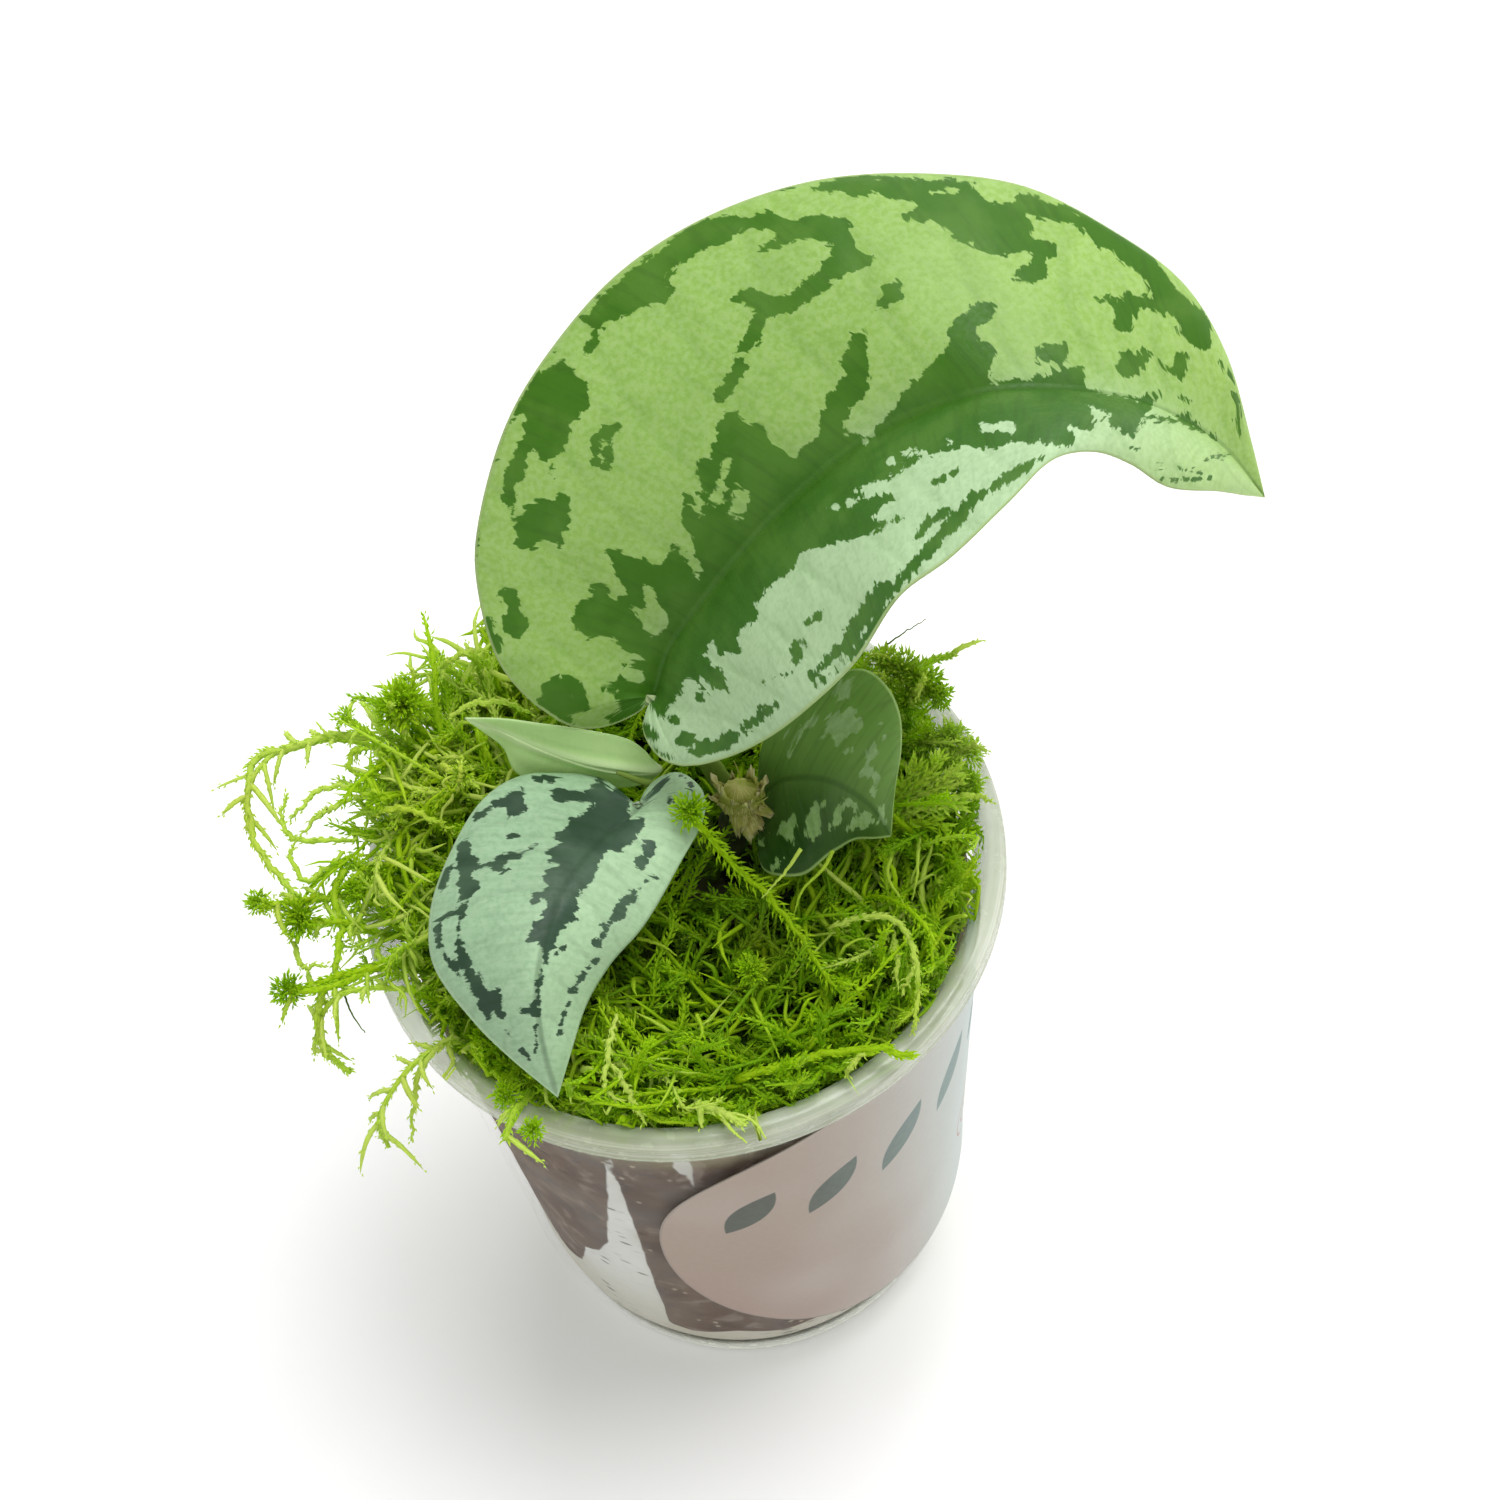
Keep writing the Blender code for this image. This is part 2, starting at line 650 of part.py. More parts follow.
def moss_core():
    """A lumpy ring of moss between the cup wall and the hollow round the stem."""
    rng = np.random.default_rng(7)
    around = 30
    verts = []
    for k in range(around):
        turn = 2 * math.pi * k / around
        c, s = math.cos(turn), math.sin(turn)
        near = np.array([HOLLOW_AT[0] + HOLLOW_RADIUS * c, HOLLOW_AT[1] + HOLLOW_RADIUS * s])
        far = np.array([c, s])
        low = wall_radius(SUBSTRATE_TOP + 0.8) - WALL - GAP - 0.2
        high = wall_radius(63.5) - WALL - GAP - 0.2
        loop = [
            (*near, SUBSTRATE_TOP + 0.8),
            (*(far * low), SUBSTRATE_TOP + 0.8),
            (*(far * high), 63.5),
        ]
        for share in (0.93, 0.75, 0.55, 0.34, 0.12):
            x, y = near + (far * high - near) * share
            drop = 2.2 if share > 0.9 or share < 0.2 else 0.0
            top = min(moss_height(x, y), roof(x, y) - 2.5) - drop + rng.uniform(-1.0, 0.9)
            loop.append((x, y, top))
        verts += loop
    ring = 8
    faces = []
    for k in range(around):
        after = (k + 1) % around
        for j in range(ring):
            up = (j + 1) % ring
            a, b = k * ring, after * ring
            faces += [(a + j, b + j, b + up), (a + j, b + up, a + up)]
    return mesh_of("moss", verts, faces)


def moss():
    rng = np.random.default_rng(37)
    pieces = []
    made = 0
    while made < SHOOT_COUNT:
        r = 25.4 * math.sqrt(rng.uniform(0.02, 1))
        turn = rng.uniform(0, 2 * math.pi)
        x, y = r * math.cos(turn), r * math.sin(turn)
        if math.hypot(x - HOLLOW_AT[0], y - HOLLOW_AT[1]) < HOLLOW_RADIUS + 1.6:
            continue
        made += 1
        top = min(moss_height(x, y), roof(x, y) - 2.5)
        out = np.array([x, y]) / max(r, 1.0)
        spin = rng.uniform(-1, 1, 2)
        edge = max(0.0, (r - 17) / 9)
        lean = out * (1.5 + 3.0 * edge) + 2.2 * spin
        tall = rng.uniform(2.2, 5.0)
        tip = np.array([x + lean[0], y + lean[1], top + tall])
        reach = math.hypot(tip[0], tip[1])
        if reach > 26.2:
            tip[2] = max(tip[2], 69.8)
        if reach > 30.5:
            tip[:2] *= 30.5 / reach
        tip[2] = min(tip[2], roof(tip[0], tip[1]))
        root = np.array([x, y, top - 3.6])
        if r > 22.5:
            root[:2] *= 22.5 / r
        middle = (root + tip) / 2 + np.array([0.5 * spin[1], 0.5 * spin[0], 1.4])
        if math.hypot(middle[0], middle[1]) > 26.0:
            middle[2] = max(middle[2], 69.4)
        pieces.append(spike([root, middle, tip], SHOOT_RADIUS))
        if rng.uniform() < 0.3 and tip[2] < roof(tip[0], tip[1]) - 1.2:
            pieces.append(star(tip - 0.35 * (tip - middle), tip - middle, rng.uniform(1.1, 1.6), rng))
    for path in LONG_STRANDS:
        pts = np.array(path, float)
        pieces.append(spike(pts, SHOOT_RADIUS + 0.06))
        pieces.append(star(pts[-1] - 0.2 * (pts[-1] - pts[-2]), pts[-1] - pts[-2], 1.5, rng))
        for k in range(1, len(pts) - 1):
            ahead = pts[k + 1] - pts[k]
            side = np.cross(ahead, (0, 0.2, 1))
            side *= rng.choice((-1, 1)) / np.linalg.norm(side)
            root = pts[k] + 0.1 * ahead
            tip = root + 2.3 * side + 0.35 * ahead + np.array([0, 0, 0.9])
            if math.hypot(tip[0], tip[1]) > 26.5 and tip[2] > 66.5:
                tip[2] = max(tip[2], 69.4)
            pieces.append(spike([root - 0.3 * side, (root + tip) / 2, tip], 0.42))
    return fuse("moss", moss_core(), pieces, MOSS)


def dry_sheath():
    """Papery leftovers of old leaf sheaths, a ragged tuft beside the stem."""
    rng = np.random.default_rng(5)
    centre = np.array([6.6, 0.2, 75.4])
    shape = bmesh.new()
    bmesh.ops.create_icosphere(shape, subdivisions=1, radius=1.0)
    verts = []
    for v in shape.verts:
        p = np.array(v.co) * (1.9, 1.5, 2.0) * rng.uniform(0.82, 1.12)
        verts.append(centre + p)
    faces = [tuple(v.index for v in f.verts) for f in shape.faces]
    shape.free()
    pieces = []
    for k in range(13):
        turn = 2 * math.pi * k / 13 + rng.uniform(-0.2, 0.2)
        out = np.array([math.cos(turn) * 1.2, math.sin(turn), 0.0])
        root = centre + 0.7 * out + (0, 0, rng.uniform(-1.2, 0.4))
        tip = root + rng.uniform(1.0, 1.6) * out + (0, 0, rng.uniform(1.6, 3.2))
        pieces.append(spike([root, (root + tip) / 2 + 0.4 * out, tip], 0.5))
    return fuse("dry_sheath", mesh_of("dry_sheath", verts, faces), pieces, HUSK)


cup()
label()
substrate()
moss()
tube("stem", STEM_PATH, STEM_RADIUS, PLANT, BARK, 2, 0.75)
dry_sheath()
blade("leaf_large", LARGE, LEAF_LIGHT)
blade("leaf_front", FRONT, LEAF_SILVER)
blade("leaf_right", RIGHT, LEAF_DARK)
blade("leaf_pale", PALE, LEAF_YOUNG)
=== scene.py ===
import math

import bpy
import numpy as np
from mathutils import Matrix


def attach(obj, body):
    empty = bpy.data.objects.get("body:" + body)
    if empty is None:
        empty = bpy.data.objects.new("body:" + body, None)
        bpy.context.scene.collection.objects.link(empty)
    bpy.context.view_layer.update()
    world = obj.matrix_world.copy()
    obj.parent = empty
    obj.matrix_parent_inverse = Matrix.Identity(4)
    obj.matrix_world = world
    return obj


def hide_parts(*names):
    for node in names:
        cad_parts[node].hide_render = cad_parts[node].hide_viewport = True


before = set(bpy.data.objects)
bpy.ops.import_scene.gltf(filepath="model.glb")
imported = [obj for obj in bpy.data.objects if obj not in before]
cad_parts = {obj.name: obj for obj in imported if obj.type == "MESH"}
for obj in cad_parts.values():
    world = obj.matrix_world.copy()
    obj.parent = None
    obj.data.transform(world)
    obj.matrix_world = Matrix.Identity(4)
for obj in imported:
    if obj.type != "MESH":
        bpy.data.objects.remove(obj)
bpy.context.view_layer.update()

# Sizes in millimetres, the same as in the part's source
FOOT_RADIUS = 21.2
FOOT_HEIGHT = 2.6
SHOULDER_RADIUS = 24.3
SHOULDER_HEIGHT = 15.0
NECK_RADIUS = 28.5
NECK_HEIGHT = 64.0
RIM_RADIUS = 31.0
RIM_TOP = 67.2
WALL = 0.8
FLOOR = 1.2
SUBSTRATE_TOP = 60.5
GAP = 0.3
LABEL_MIDDLE_DEG = 42.0
LABEL_HALF_DEG = 64.6
LABEL_MIDDLE_Z = 35.0
LABEL_HALF_Z = 26.0
LABEL_ROUNDNESS = 2.2
MOSS_TOP = 66.5
MOUND_AT = (-19.0, 13.0)
MOUND_RISE = 6.5
MOUND_REACH = 9.0
HOLLOW_AT = (5.0, 0.6)
HOLLOW_RADIUS = 5.6
STEM_PATH = [(5.2, 0.4, 42.0), (5.2, 0.6, 56.0), (5.0, 0.8, 64.0), (5.1, 0.9, 69.0), (6.3, 0.4, 73.0)]
STEM_RADIUS = 1.6

# A leaf is a spine from the petiole to the tip and two margins from the notch to the tip.
# Each margin point carries the share of the spine at which its vein leaves, 0 for the lobes.
LARGE = {
    "spine": [
        (0.5, 6.0, 86.0), (2.8, 8.0, 90.0), (6.5, 9.0, 94.5), (12.5, 10.5, 100.5),
        (18.0, 11.5, 105.0), (25.0, 12.5, 109.0), (34.5, 11.5, 112.5), (43.0, 10.0, 111.5),
        (48.5, 10.0, 108.0), (54.5, 9.0, 102.0), (58.5, 7.0, 95.0),
    ],
    "left": [
        (-1.0, 5.4, 85.0, 0.0), (-5.5, 5.5, 84.0, 0.0), (-8.5, 6.0, 85.5, 0.0),
        (-12.5, 10.0, 90.0, 0.02), (-13.0, 16.5, 96.0, 0.08), (-11.5, 20.0, 100.0, 0.15),
        (-7.0, 25.5, 106.0, 0.25), (-1.0, 30.0, 110.0, 0.34), (6.0, 33.5, 113.5, 0.43),
        (14.5, 35.5, 116.0, 0.52), (24.0, 35.5, 117.5, 0.61), (34.0, 33.5, 117.5, 0.70),
        (42.5, 31.0, 116.0, 0.77), (49.0, 26.5, 113.5, 0.83), (54.5, 21.5, 110.0, 0.89),
        (57.0, 16.0, 106.0, 0.94), (58.0, 10.0, 99.5, 0.98),
    ],
    "right": [
        (-1.0, 3.0, 86.0, 0.0), (-0.2, -1.0, 86.8, 0.0), (2.0, -3.7, 88.3, 0.0),
        (5.5, -6.0, 91.5, 0.02), (9.5, -9.0, 97.5, 0.10), (13.0, -11.5, 104.3, 0.20),
        (17.5, -12.0, 110.4, 0.30), (22.0, -10.5, 116.0, 0.42), (26.5, -9.5, 118.2, 0.50),
        (32.0, -6.7, 120.2, 0.60), (36.5, -3.5, 120.4, 0.68), (40.7, -1.2, 117.4, 0.76),
        (44.2, -0.2, 113.4, 0.82), (47.5, 0.0, 109.0, 0.88), (53.0, 2.5, 103.5, 0.94),
    ],
    "lift": (0.0, -0.1, 1.0),
    "bulge": 1.6,
    "petiole": [(5.8, 3.6, 63.0), (5.4, 5.1, 70.0), (3.0, 6.2, 78.0)],
    "petiole_radius": 1.25,
}
FRONT = {
    "spine": [
        (-3.0, -1.0, 79.0), (-7.5, -6.0, 82.0), (-11.0, -10.5, 83.0), (-13.5, -15.0, 82.5),
        (-15.0, -18.5, 81.0), (-15.5, -20.5, 78.5), (-15.7, -22.5, 75.5), (-15.5, -25.0, 71.5),
    ],
    "left": [
        (-3.7, 1.0, 78.0, 0.0), (-5.5, 3.3, 78.5, 0.0), (-8.0, 4.0, 79.5, 0.0),
        (-13.0, 4.0, 81.0, 0.02), (-17.0, 1.5, 82.0, 0.12), (-21.0, -4.0, 82.0, 0.28),
        (-23.5, -9.5, 81.5, 0.44), (-24.0, -13.5, 80.0, 0.56), (-21.5, -18.5, 77.0, 0.73),
        (-19.0, -21.5, 74.5, 0.86),
    ],
    "right": [
        (-2.0, 0.8, 79.0, 0.0), (-0.4, 1.6, 79.5, 0.0), (1.5, 1.3, 80.0, 0.0),
        (3.2, -1.3, 80.0, 0.0), (2.8, -3.7, 79.5, 0.03), (-0.2, -7.5, 78.5, 0.14),
        (-5.0, -13.0, 77.5, 0.38), (-8.5, -15.5, 76.5, 0.54), (-11.0, -18.0, 75.5, 0.68),
        (-13.2, -21.5, 74.0, 0.84),
    ],
    "lift": (-0.1, -0.2, 1.0),
    "bulge": 0.9,
    "petiole": [(2.6, 0.1, 63.0), (1.8, 0.5, 70.0), (-0.4, 0.2, 75.4)],
    "petiole_radius": 0.85,
}
RIGHT = {
    "spine": [(8.6, 3.2, 70.5), (11.0, 0.8, 76.0), (15.0, -3.0, 79.5), (18.0, -5.5, 78.0), (19.5, -6.5, 73.5)],
    "left": [
        (8.8, 4.6, 72.5, 0.0), (10.0, 5.2, 77.0, 0.0), (13.8, 5.5, 82.0, 0.06),
        (18.5, 5.5, 84.5, 0.30), (20.5, 5.0, 84.5, 0.42), (22.0, 3.2, 83.5, 0.55),
        (22.5, 1.0, 82.0, 0.66), (22.0, -1.2, 80.0, 0.78), (20.8, -3.5, 77.5, 0.88),
    ],
    "right": [
        (8.9, 1.4, 70.9, 0.0), (7.8, -1.6, 72.0, 0.0), (7.0, -4.6, 72.6, 0.0),
        (7.4, -6.8, 72.8, 0.04), (10.5, -8.4, 73.5, 0.26), (13.8, -7.4, 74.6, 0.55),
        (16.0, -6.6, 74.6, 0.74), (18.0, -6.6, 74.0, 0.88),
    ],
    "lift": (-0.2, 0.0, 1.0),
    "bulge": 0.5,
    "petiole": [(7.4, 1.2, 62.0), (8.2, 2.9, 66.5)],
    "petiole_radius": 0.8,
}
PALE = {
    "spine": [(-0.6, 4.0, 77.5), (-5.6, 4.4, 80.0), (-10.2, 6.3, 81.5), (-14.0, 8.3, 83.0), (-17.0, 10.0, 83.5)],
    "left": [
        (-0.8, 3.8, 76.6, 0.0), (-2.5, 4.0, 75.6, 0.05), (-6.5, 5.3, 75.2, 0.25),
        (-11.0, 5.8, 76.6, 0.52), (-13.4, 6.3, 78.7, 0.68), (-14.0, 7.6, 81.0, 0.80),
        (-15.4, 8.6, 82.5, 0.91),
    ],
    "right": [
        (-0.8, 4.4, 78.6, 0.0), (-2.0, 5.2, 80.8, 0.05), (-4.5, 5.7, 82.6, 0.24),
        (-7.6, 6.2, 84.0, 0.45), (-13.3, 8.2, 84.6, 0.78),
    ],
    "lift": (0.3, 0.9, -0.1),
    "bulge": -0.5,
    "petiole": [(3.35, 2.45, 62.0), (2.7, 3.1, 70.0), (1.2, 3.2, 74.8)],
    "petiole_radius": 0.75,
}
LONG_STRANDS = [
    [(-22, 12, 67), (-26.5, 15.5, 73.5), (-31, 15, 78), (-35.5, 14, 79), (-38.5, 11, 78.5), (-39.5, 7, 77)],
    [(-24, 2, 66), (-28.5, 1.5, 70.5), (-34, 0, 73.5), (-38.5, -0.5, 75.5)],
    [(-25, -2, 66), (-29.5, -2.5, 70), (-33, -2.5, 73), (-36, -2.2, 74)],
    [(-24.5, -6, 66), (-28.5, -6.2, 69.8), (-33.6, -8, 71), (-38.3, -8, 71.8)],
    [(-24, -9, 66), (-28.6, -9, 69.8), (-34, -9, 70.5), (-36.8, -9.3, 66.5), (-37, -9.8, 61.5)],
    [(-20, 13, 68), (-23, 14, 76), (-24, 14.3, 82)],
    [(-21.5, 13, 68), (-26, 14.5, 76), (-28.5, 15.2, 80)],
    [(-17, 16, 67), (-20.5, 17, 75), (-22.9, 17.5, 80)],
    [(-13, 18, 66), (-16, 19, 74), (-18.7, 19.8, 80)],
    [(-10, 19, 66), (-13.5, 20, 73), (-15.7, 20.5, 79)],
    [(20, 11, 65), (24, 9.5, 71), (26.2, 8.6, 76)],
    [(22, 5, 65), (26.5, 3.5, 69.8), (29.6, 2.6, 72)],
    [(-22, -14, 65), (-25.5, -16, 69.5), (-29, -18, 69.8), (-32.4, -20, 66), (-32.6, -20.5, 61)],
    [(-17, -20, 65), (-19.5, -24, 69.6), (-21, -27, 69.5)],
    [(-2.5, -24, 65), (-3, -27.5, 69.2), (0.5, -30.5, 69.6)],
    [(24, 12, 66), (27, 14, 70), (30, 13, 73)],
]

# Where the picture is taken from
EYE = np.array([0.0, -172.9, 336.5])
FOCAL = 3338.0
CENTRE = 750.0


def camera_axes(pitch, yaw, roll):
    pitch, yaw, roll = (math.radians(a) for a in (pitch, yaw, roll))
    ahead = np.array([0.0, math.cos(pitch), -math.sin(pitch)])
    right = np.array([1.0, 0.0, 0.0])
    up = np.cross(right, ahead)
    turn = np.array([
        [math.cos(yaw), -math.sin(yaw), 0.0],
        [math.sin(yaw), math.cos(yaw), 0.0],
        [0.0, 0.0, 1.0],
    ])
    ahead, right, up = turn @ ahead, turn @ right, turn @ up
    c, s = math.cos(roll), math.sin(roll)
    return c * right + s * up, -s * right + c * up, ahead


RIGHTWARD, UPWARD, AHEAD = camera_axes(55.68, -2.72, -9.87)


def in_picture(points):
    """Where points lie in a 1500 x 1500 picture from EYE."""
    away = points - EYE
    depth = away @ AHEAD
    return np.stack([CENTRE + FOCAL * (away @ RIGHTWARD) / depth, CENTRE - FOCAL * (away @ UPWARD) / depth], 1)


# Dark markings of the large leaf, as outlines and as strokes of (x, y, half width)
LARGE_PATCHES = [
    [
        (566, 359), (568, 369), (579, 366), (576, 375), (585, 380), (588, 390), (587, 407), (579, 420),
        (572, 426), (569, 437), (568, 448), (559, 450), (554, 460), (551, 480), (548, 470), (549, 461),
        (540, 461), (537, 452), (532, 447), (527, 460), (524, 470), (523, 481), (514, 484), (514, 502),
        (519, 520), (511, 522), (507, 510), (502, 495), (504, 480), (509, 465), (516, 450), (524, 432),
        (525, 415), (521, 412), (505, 430), (493, 465), (499, 443), (507, 424), (519, 400), (531, 380),
        (540, 372), (550, 364),
    ],
    [
        (525, 510), (537, 500), (547, 500), (551, 506), (557, 495), (564, 490), (568, 498), (567, 510),
        (570, 526), (561, 531), (561, 540), (567, 555), (557, 550), (552, 542), (540, 540), (536, 548),
        (520, 551), (516, 542), (514, 527), (519, 520),
    ],
    [
        (725, 410), (739, 409), (740, 416), (751, 424), (755, 420), (765, 426), (771, 433), (774, 445),
        (780, 452), (792, 453), (795, 456), (800, 449), (809, 442), (817, 433), (822, 420), (825, 406),
        (831, 393), (838, 382), (848, 372), (841, 360), (838, 357), (850, 350), (848, 340), (851, 332),
        (862, 328), (867, 335), (869, 345), (866, 355), (869, 375), (872, 387), (868, 395), (860, 400),
        (852, 410), (843, 420), (841, 432), (845, 438), (855, 433), (861, 433), (860, 440), (866, 448),
        (872, 435), (882, 422), (890, 412), (900, 397), (915, 380), (932, 365), (942, 352), (950, 335),
        (955, 322), (967, 310), (977, 302), (990, 302), (999, 304), (997, 312), (988, 320), (978, 327),
        (974, 335), (980, 342), (990, 342), (996, 352), (992, 367), (989, 378), (990, 386), (1002, 382),
        (1020, 379), (1037, 379), (1052, 372), (1081, 365), (1084, 377), (1085, 386), (1102, 387),
        (1097, 391), (1112, 394), (1122, 395), (1137, 399), (1147, 392), (1161, 391), (1160, 398),
        (1152, 404), (1147, 414), (1172, 417), (1176, 412), (1190, 412), (1190, 420), (1202, 428),
        (1218, 439), (1214, 441), (1200, 433), (1185, 424), (1167, 420), (1145, 420), (1137, 429),
        (1134, 440), (1122, 435), (1113, 424), (1102, 421), (1088, 428), (1067, 427), (1075, 438),
        (1071, 449), (1055, 445), (1040, 442), (1020, 442), (1000, 447), (980, 449), (960, 446),
        (944, 452), (925, 458), (905, 468), (890, 478), (870, 484), (850, 492), (868, 495), (885, 492),
        (897, 500), (880, 508), (902, 519), (892, 524), (880, 530), (862, 539), (845, 542), (827, 546),
        (810, 550), (800, 555), (796, 565), (787, 574), (775, 582), (765, 589), (760, 597), (756, 606),
        (759, 612), (756, 619), (750, 624), (740, 630), (739, 641), (743, 654), (721, 654), (715, 648),
        (712, 640), (696, 649), (701, 656), (710, 659), (710, 667), (719, 666), (726, 670), (728, 684),
        (726, 694), (712, 692), (710, 684), (700, 680), (681, 682), (681, 697), (671, 703), (664, 718),
        (655, 715), (648, 700), (645, 702), (640, 712), (635, 717), (620, 722), (610, 725), (605, 717),
        (620, 710), (617, 697), (620, 689), (607, 690), (588, 690), (586, 700), (590, 710), (573, 711),
        (570, 717), (573, 725), (560, 721), (540, 710), (532, 700), (545, 697), (542, 685), (560, 676),
        (570, 676), (580, 682), (600, 684), (617, 684), (622, 677), (632, 679), (645, 682), (640, 672),
        (622, 668), (623, 663), (633, 660), (647, 661), (640, 655), (632, 654), (624, 651), (615, 640),
        (599, 634), (596, 637), (587, 640), (574, 630), (574, 620), (571, 605), (580, 597), (592, 596),
        (590, 591), (589, 584), (600, 584), (607, 587), (612, 599), (620, 597), (625, 592), (617, 575),
        (611, 560), (607, 547), (625, 549), (626, 557), (632, 555), (646, 559), (652, 565), (657, 571),
        (665, 560), (670, 545), (674, 540), (681, 547), (686, 560), (692, 575), (701, 594), (701, 570),
        (696, 555), (694, 540), (686, 530), (682, 517), (682, 500), (686, 490), (691, 495), (695, 510),
        (701, 523), (704, 505), (701, 480), (697, 472), (700, 457), (711, 459), (712, 450), (717, 435),
        (720, 422),
    ],
    [
        (797, 189), (840, 177), (880, 175), (900, 177), (935, 179), (977, 179), (974, 184), (977, 192),
        (981, 201), (990, 204), (1012, 203), (1019, 199), (1020, 194), (1025, 192), (1040, 197),
        (1060, 205), (1080, 212), (1100, 220), (1120, 232), (1137, 242), (1152, 255), (1162, 267),
        (1175, 285), (1187, 297), (1200, 310), (1210, 322), (1213, 335), (1210, 345), (1202, 351),
        (1195, 346), (1185, 340), (1179, 332), (1177, 322), (1167, 315), (1152, 310), (1139, 310),
        (1135, 322), (1131, 330), (1115, 332), (1113, 325), (1117, 315), (1117, 305), (1105, 301),
        (1092, 300), (1095, 296), (1110, 296), (1122, 299), (1126, 292), (1142, 294), (1152, 300),
        (1150, 290), (1144, 277), (1132, 270), (1122, 262), (1117, 252), (1115, 247), (1100, 247),
        (1090, 242), (1082, 232), (1072, 226), (1057, 222), (1040, 219), (1025, 215), (1031, 225),
        (1032, 235), (1040, 240), (1054, 241), (1055, 252), (1047, 262), (1045, 275), (1035, 285),
        (1030, 282), (1012, 281), (1020, 267), (1030, 264), (1034, 252), (1015, 254), (990, 257),
        (986, 252), (977, 247), (975, 241), (960, 239), (950, 235), (939, 227), (935, 222), (917, 224),
        (905, 220), (901, 214), (917, 207), (912, 202), (900, 200), (890, 197), (882, 192), (860, 195),
        (840, 191),
    ],
    [(880, 290), (885, 282), (896, 275), (905, 280), (905, 296), (890, 304), (880, 311), (870, 316), (881, 300)],
    [(1037, 345), (1070, 344), (1066, 360), (1060, 364), (1036, 363), (1036, 354)],
    [
        (1118, 351), (1137, 351), (1144, 347), (1156, 350), (1155, 357), (1146, 360), (1144, 367),
        (1140, 376), (1122, 376), (1116, 365), (1121, 360),
    ],
    [
        (1181, 349), (1188, 352), (1185, 365), (1186, 370), (1181, 381), (1167, 375), (1162, 366),
        (1156, 361), (1170, 365), (1175, 357),
    ],
    [(500, 590), (515, 590), (520, 602), (526, 615), (529, 626), (519, 635), (505, 630), (504, 620), (506, 607)],
    [(482, 617), (492, 617), (495, 632), (501, 645), (504, 660), (500, 661), (488, 637)],
    [(694, 692), (704, 691), (704, 702), (695, 700)],
    [
        (677, 742), (682, 734), (692, 736), (702, 741), (717, 741), (727, 732), (740, 731), (742, 722),
        (757, 717), (760, 707), (775, 702), (779, 704), (770, 717), (755, 726), (740, 735), (736, 745),
        (722, 752), (690, 754), (695, 745),
    ],
]
LARGE_HOLES = [
    [(642, 630), (652, 636), (662, 635), (667, 622), (666, 615), (657, 600), (655, 590), (645, 585), (643, 592),
     (646, 604), (644, 610), (635, 604), (630, 599), (630, 606), (640, 621)],
    [(727, 455), (731, 460), (728, 472), (724, 490), (720, 508), (712, 503), (710, 497), (718, 484), (722, 468)],
    [(737, 483), (742, 490), (749, 486), (751, 492), (746, 503), (743, 518), (737, 510), (730, 520), (733, 500)],
    [(1087, 406), (1100, 410), (1109, 415), (1102, 420), (1090, 417)],
    [(980, 424), (1012, 423), (1014, 431), (980, 432)],
    [(886, 460), (905, 452), (922, 449), (926, 453), (905, 459), (888, 464)],
    [(828, 508), (850, 500), (870, 490), (890, 483), (905, 481), (900, 491), (880, 493), (855, 503), (842, 509)],
    [(872, 516), (884, 508), (902, 508), (897, 518), (880, 521)],
    [(928, 192), (944, 188), (960, 189), (958, 193), (932, 195)],
    [(942, 444), (958, 441), (962, 443), (948, 446)],
    [(560, 693), (572, 689), (571, 693), (562, 696)],
]
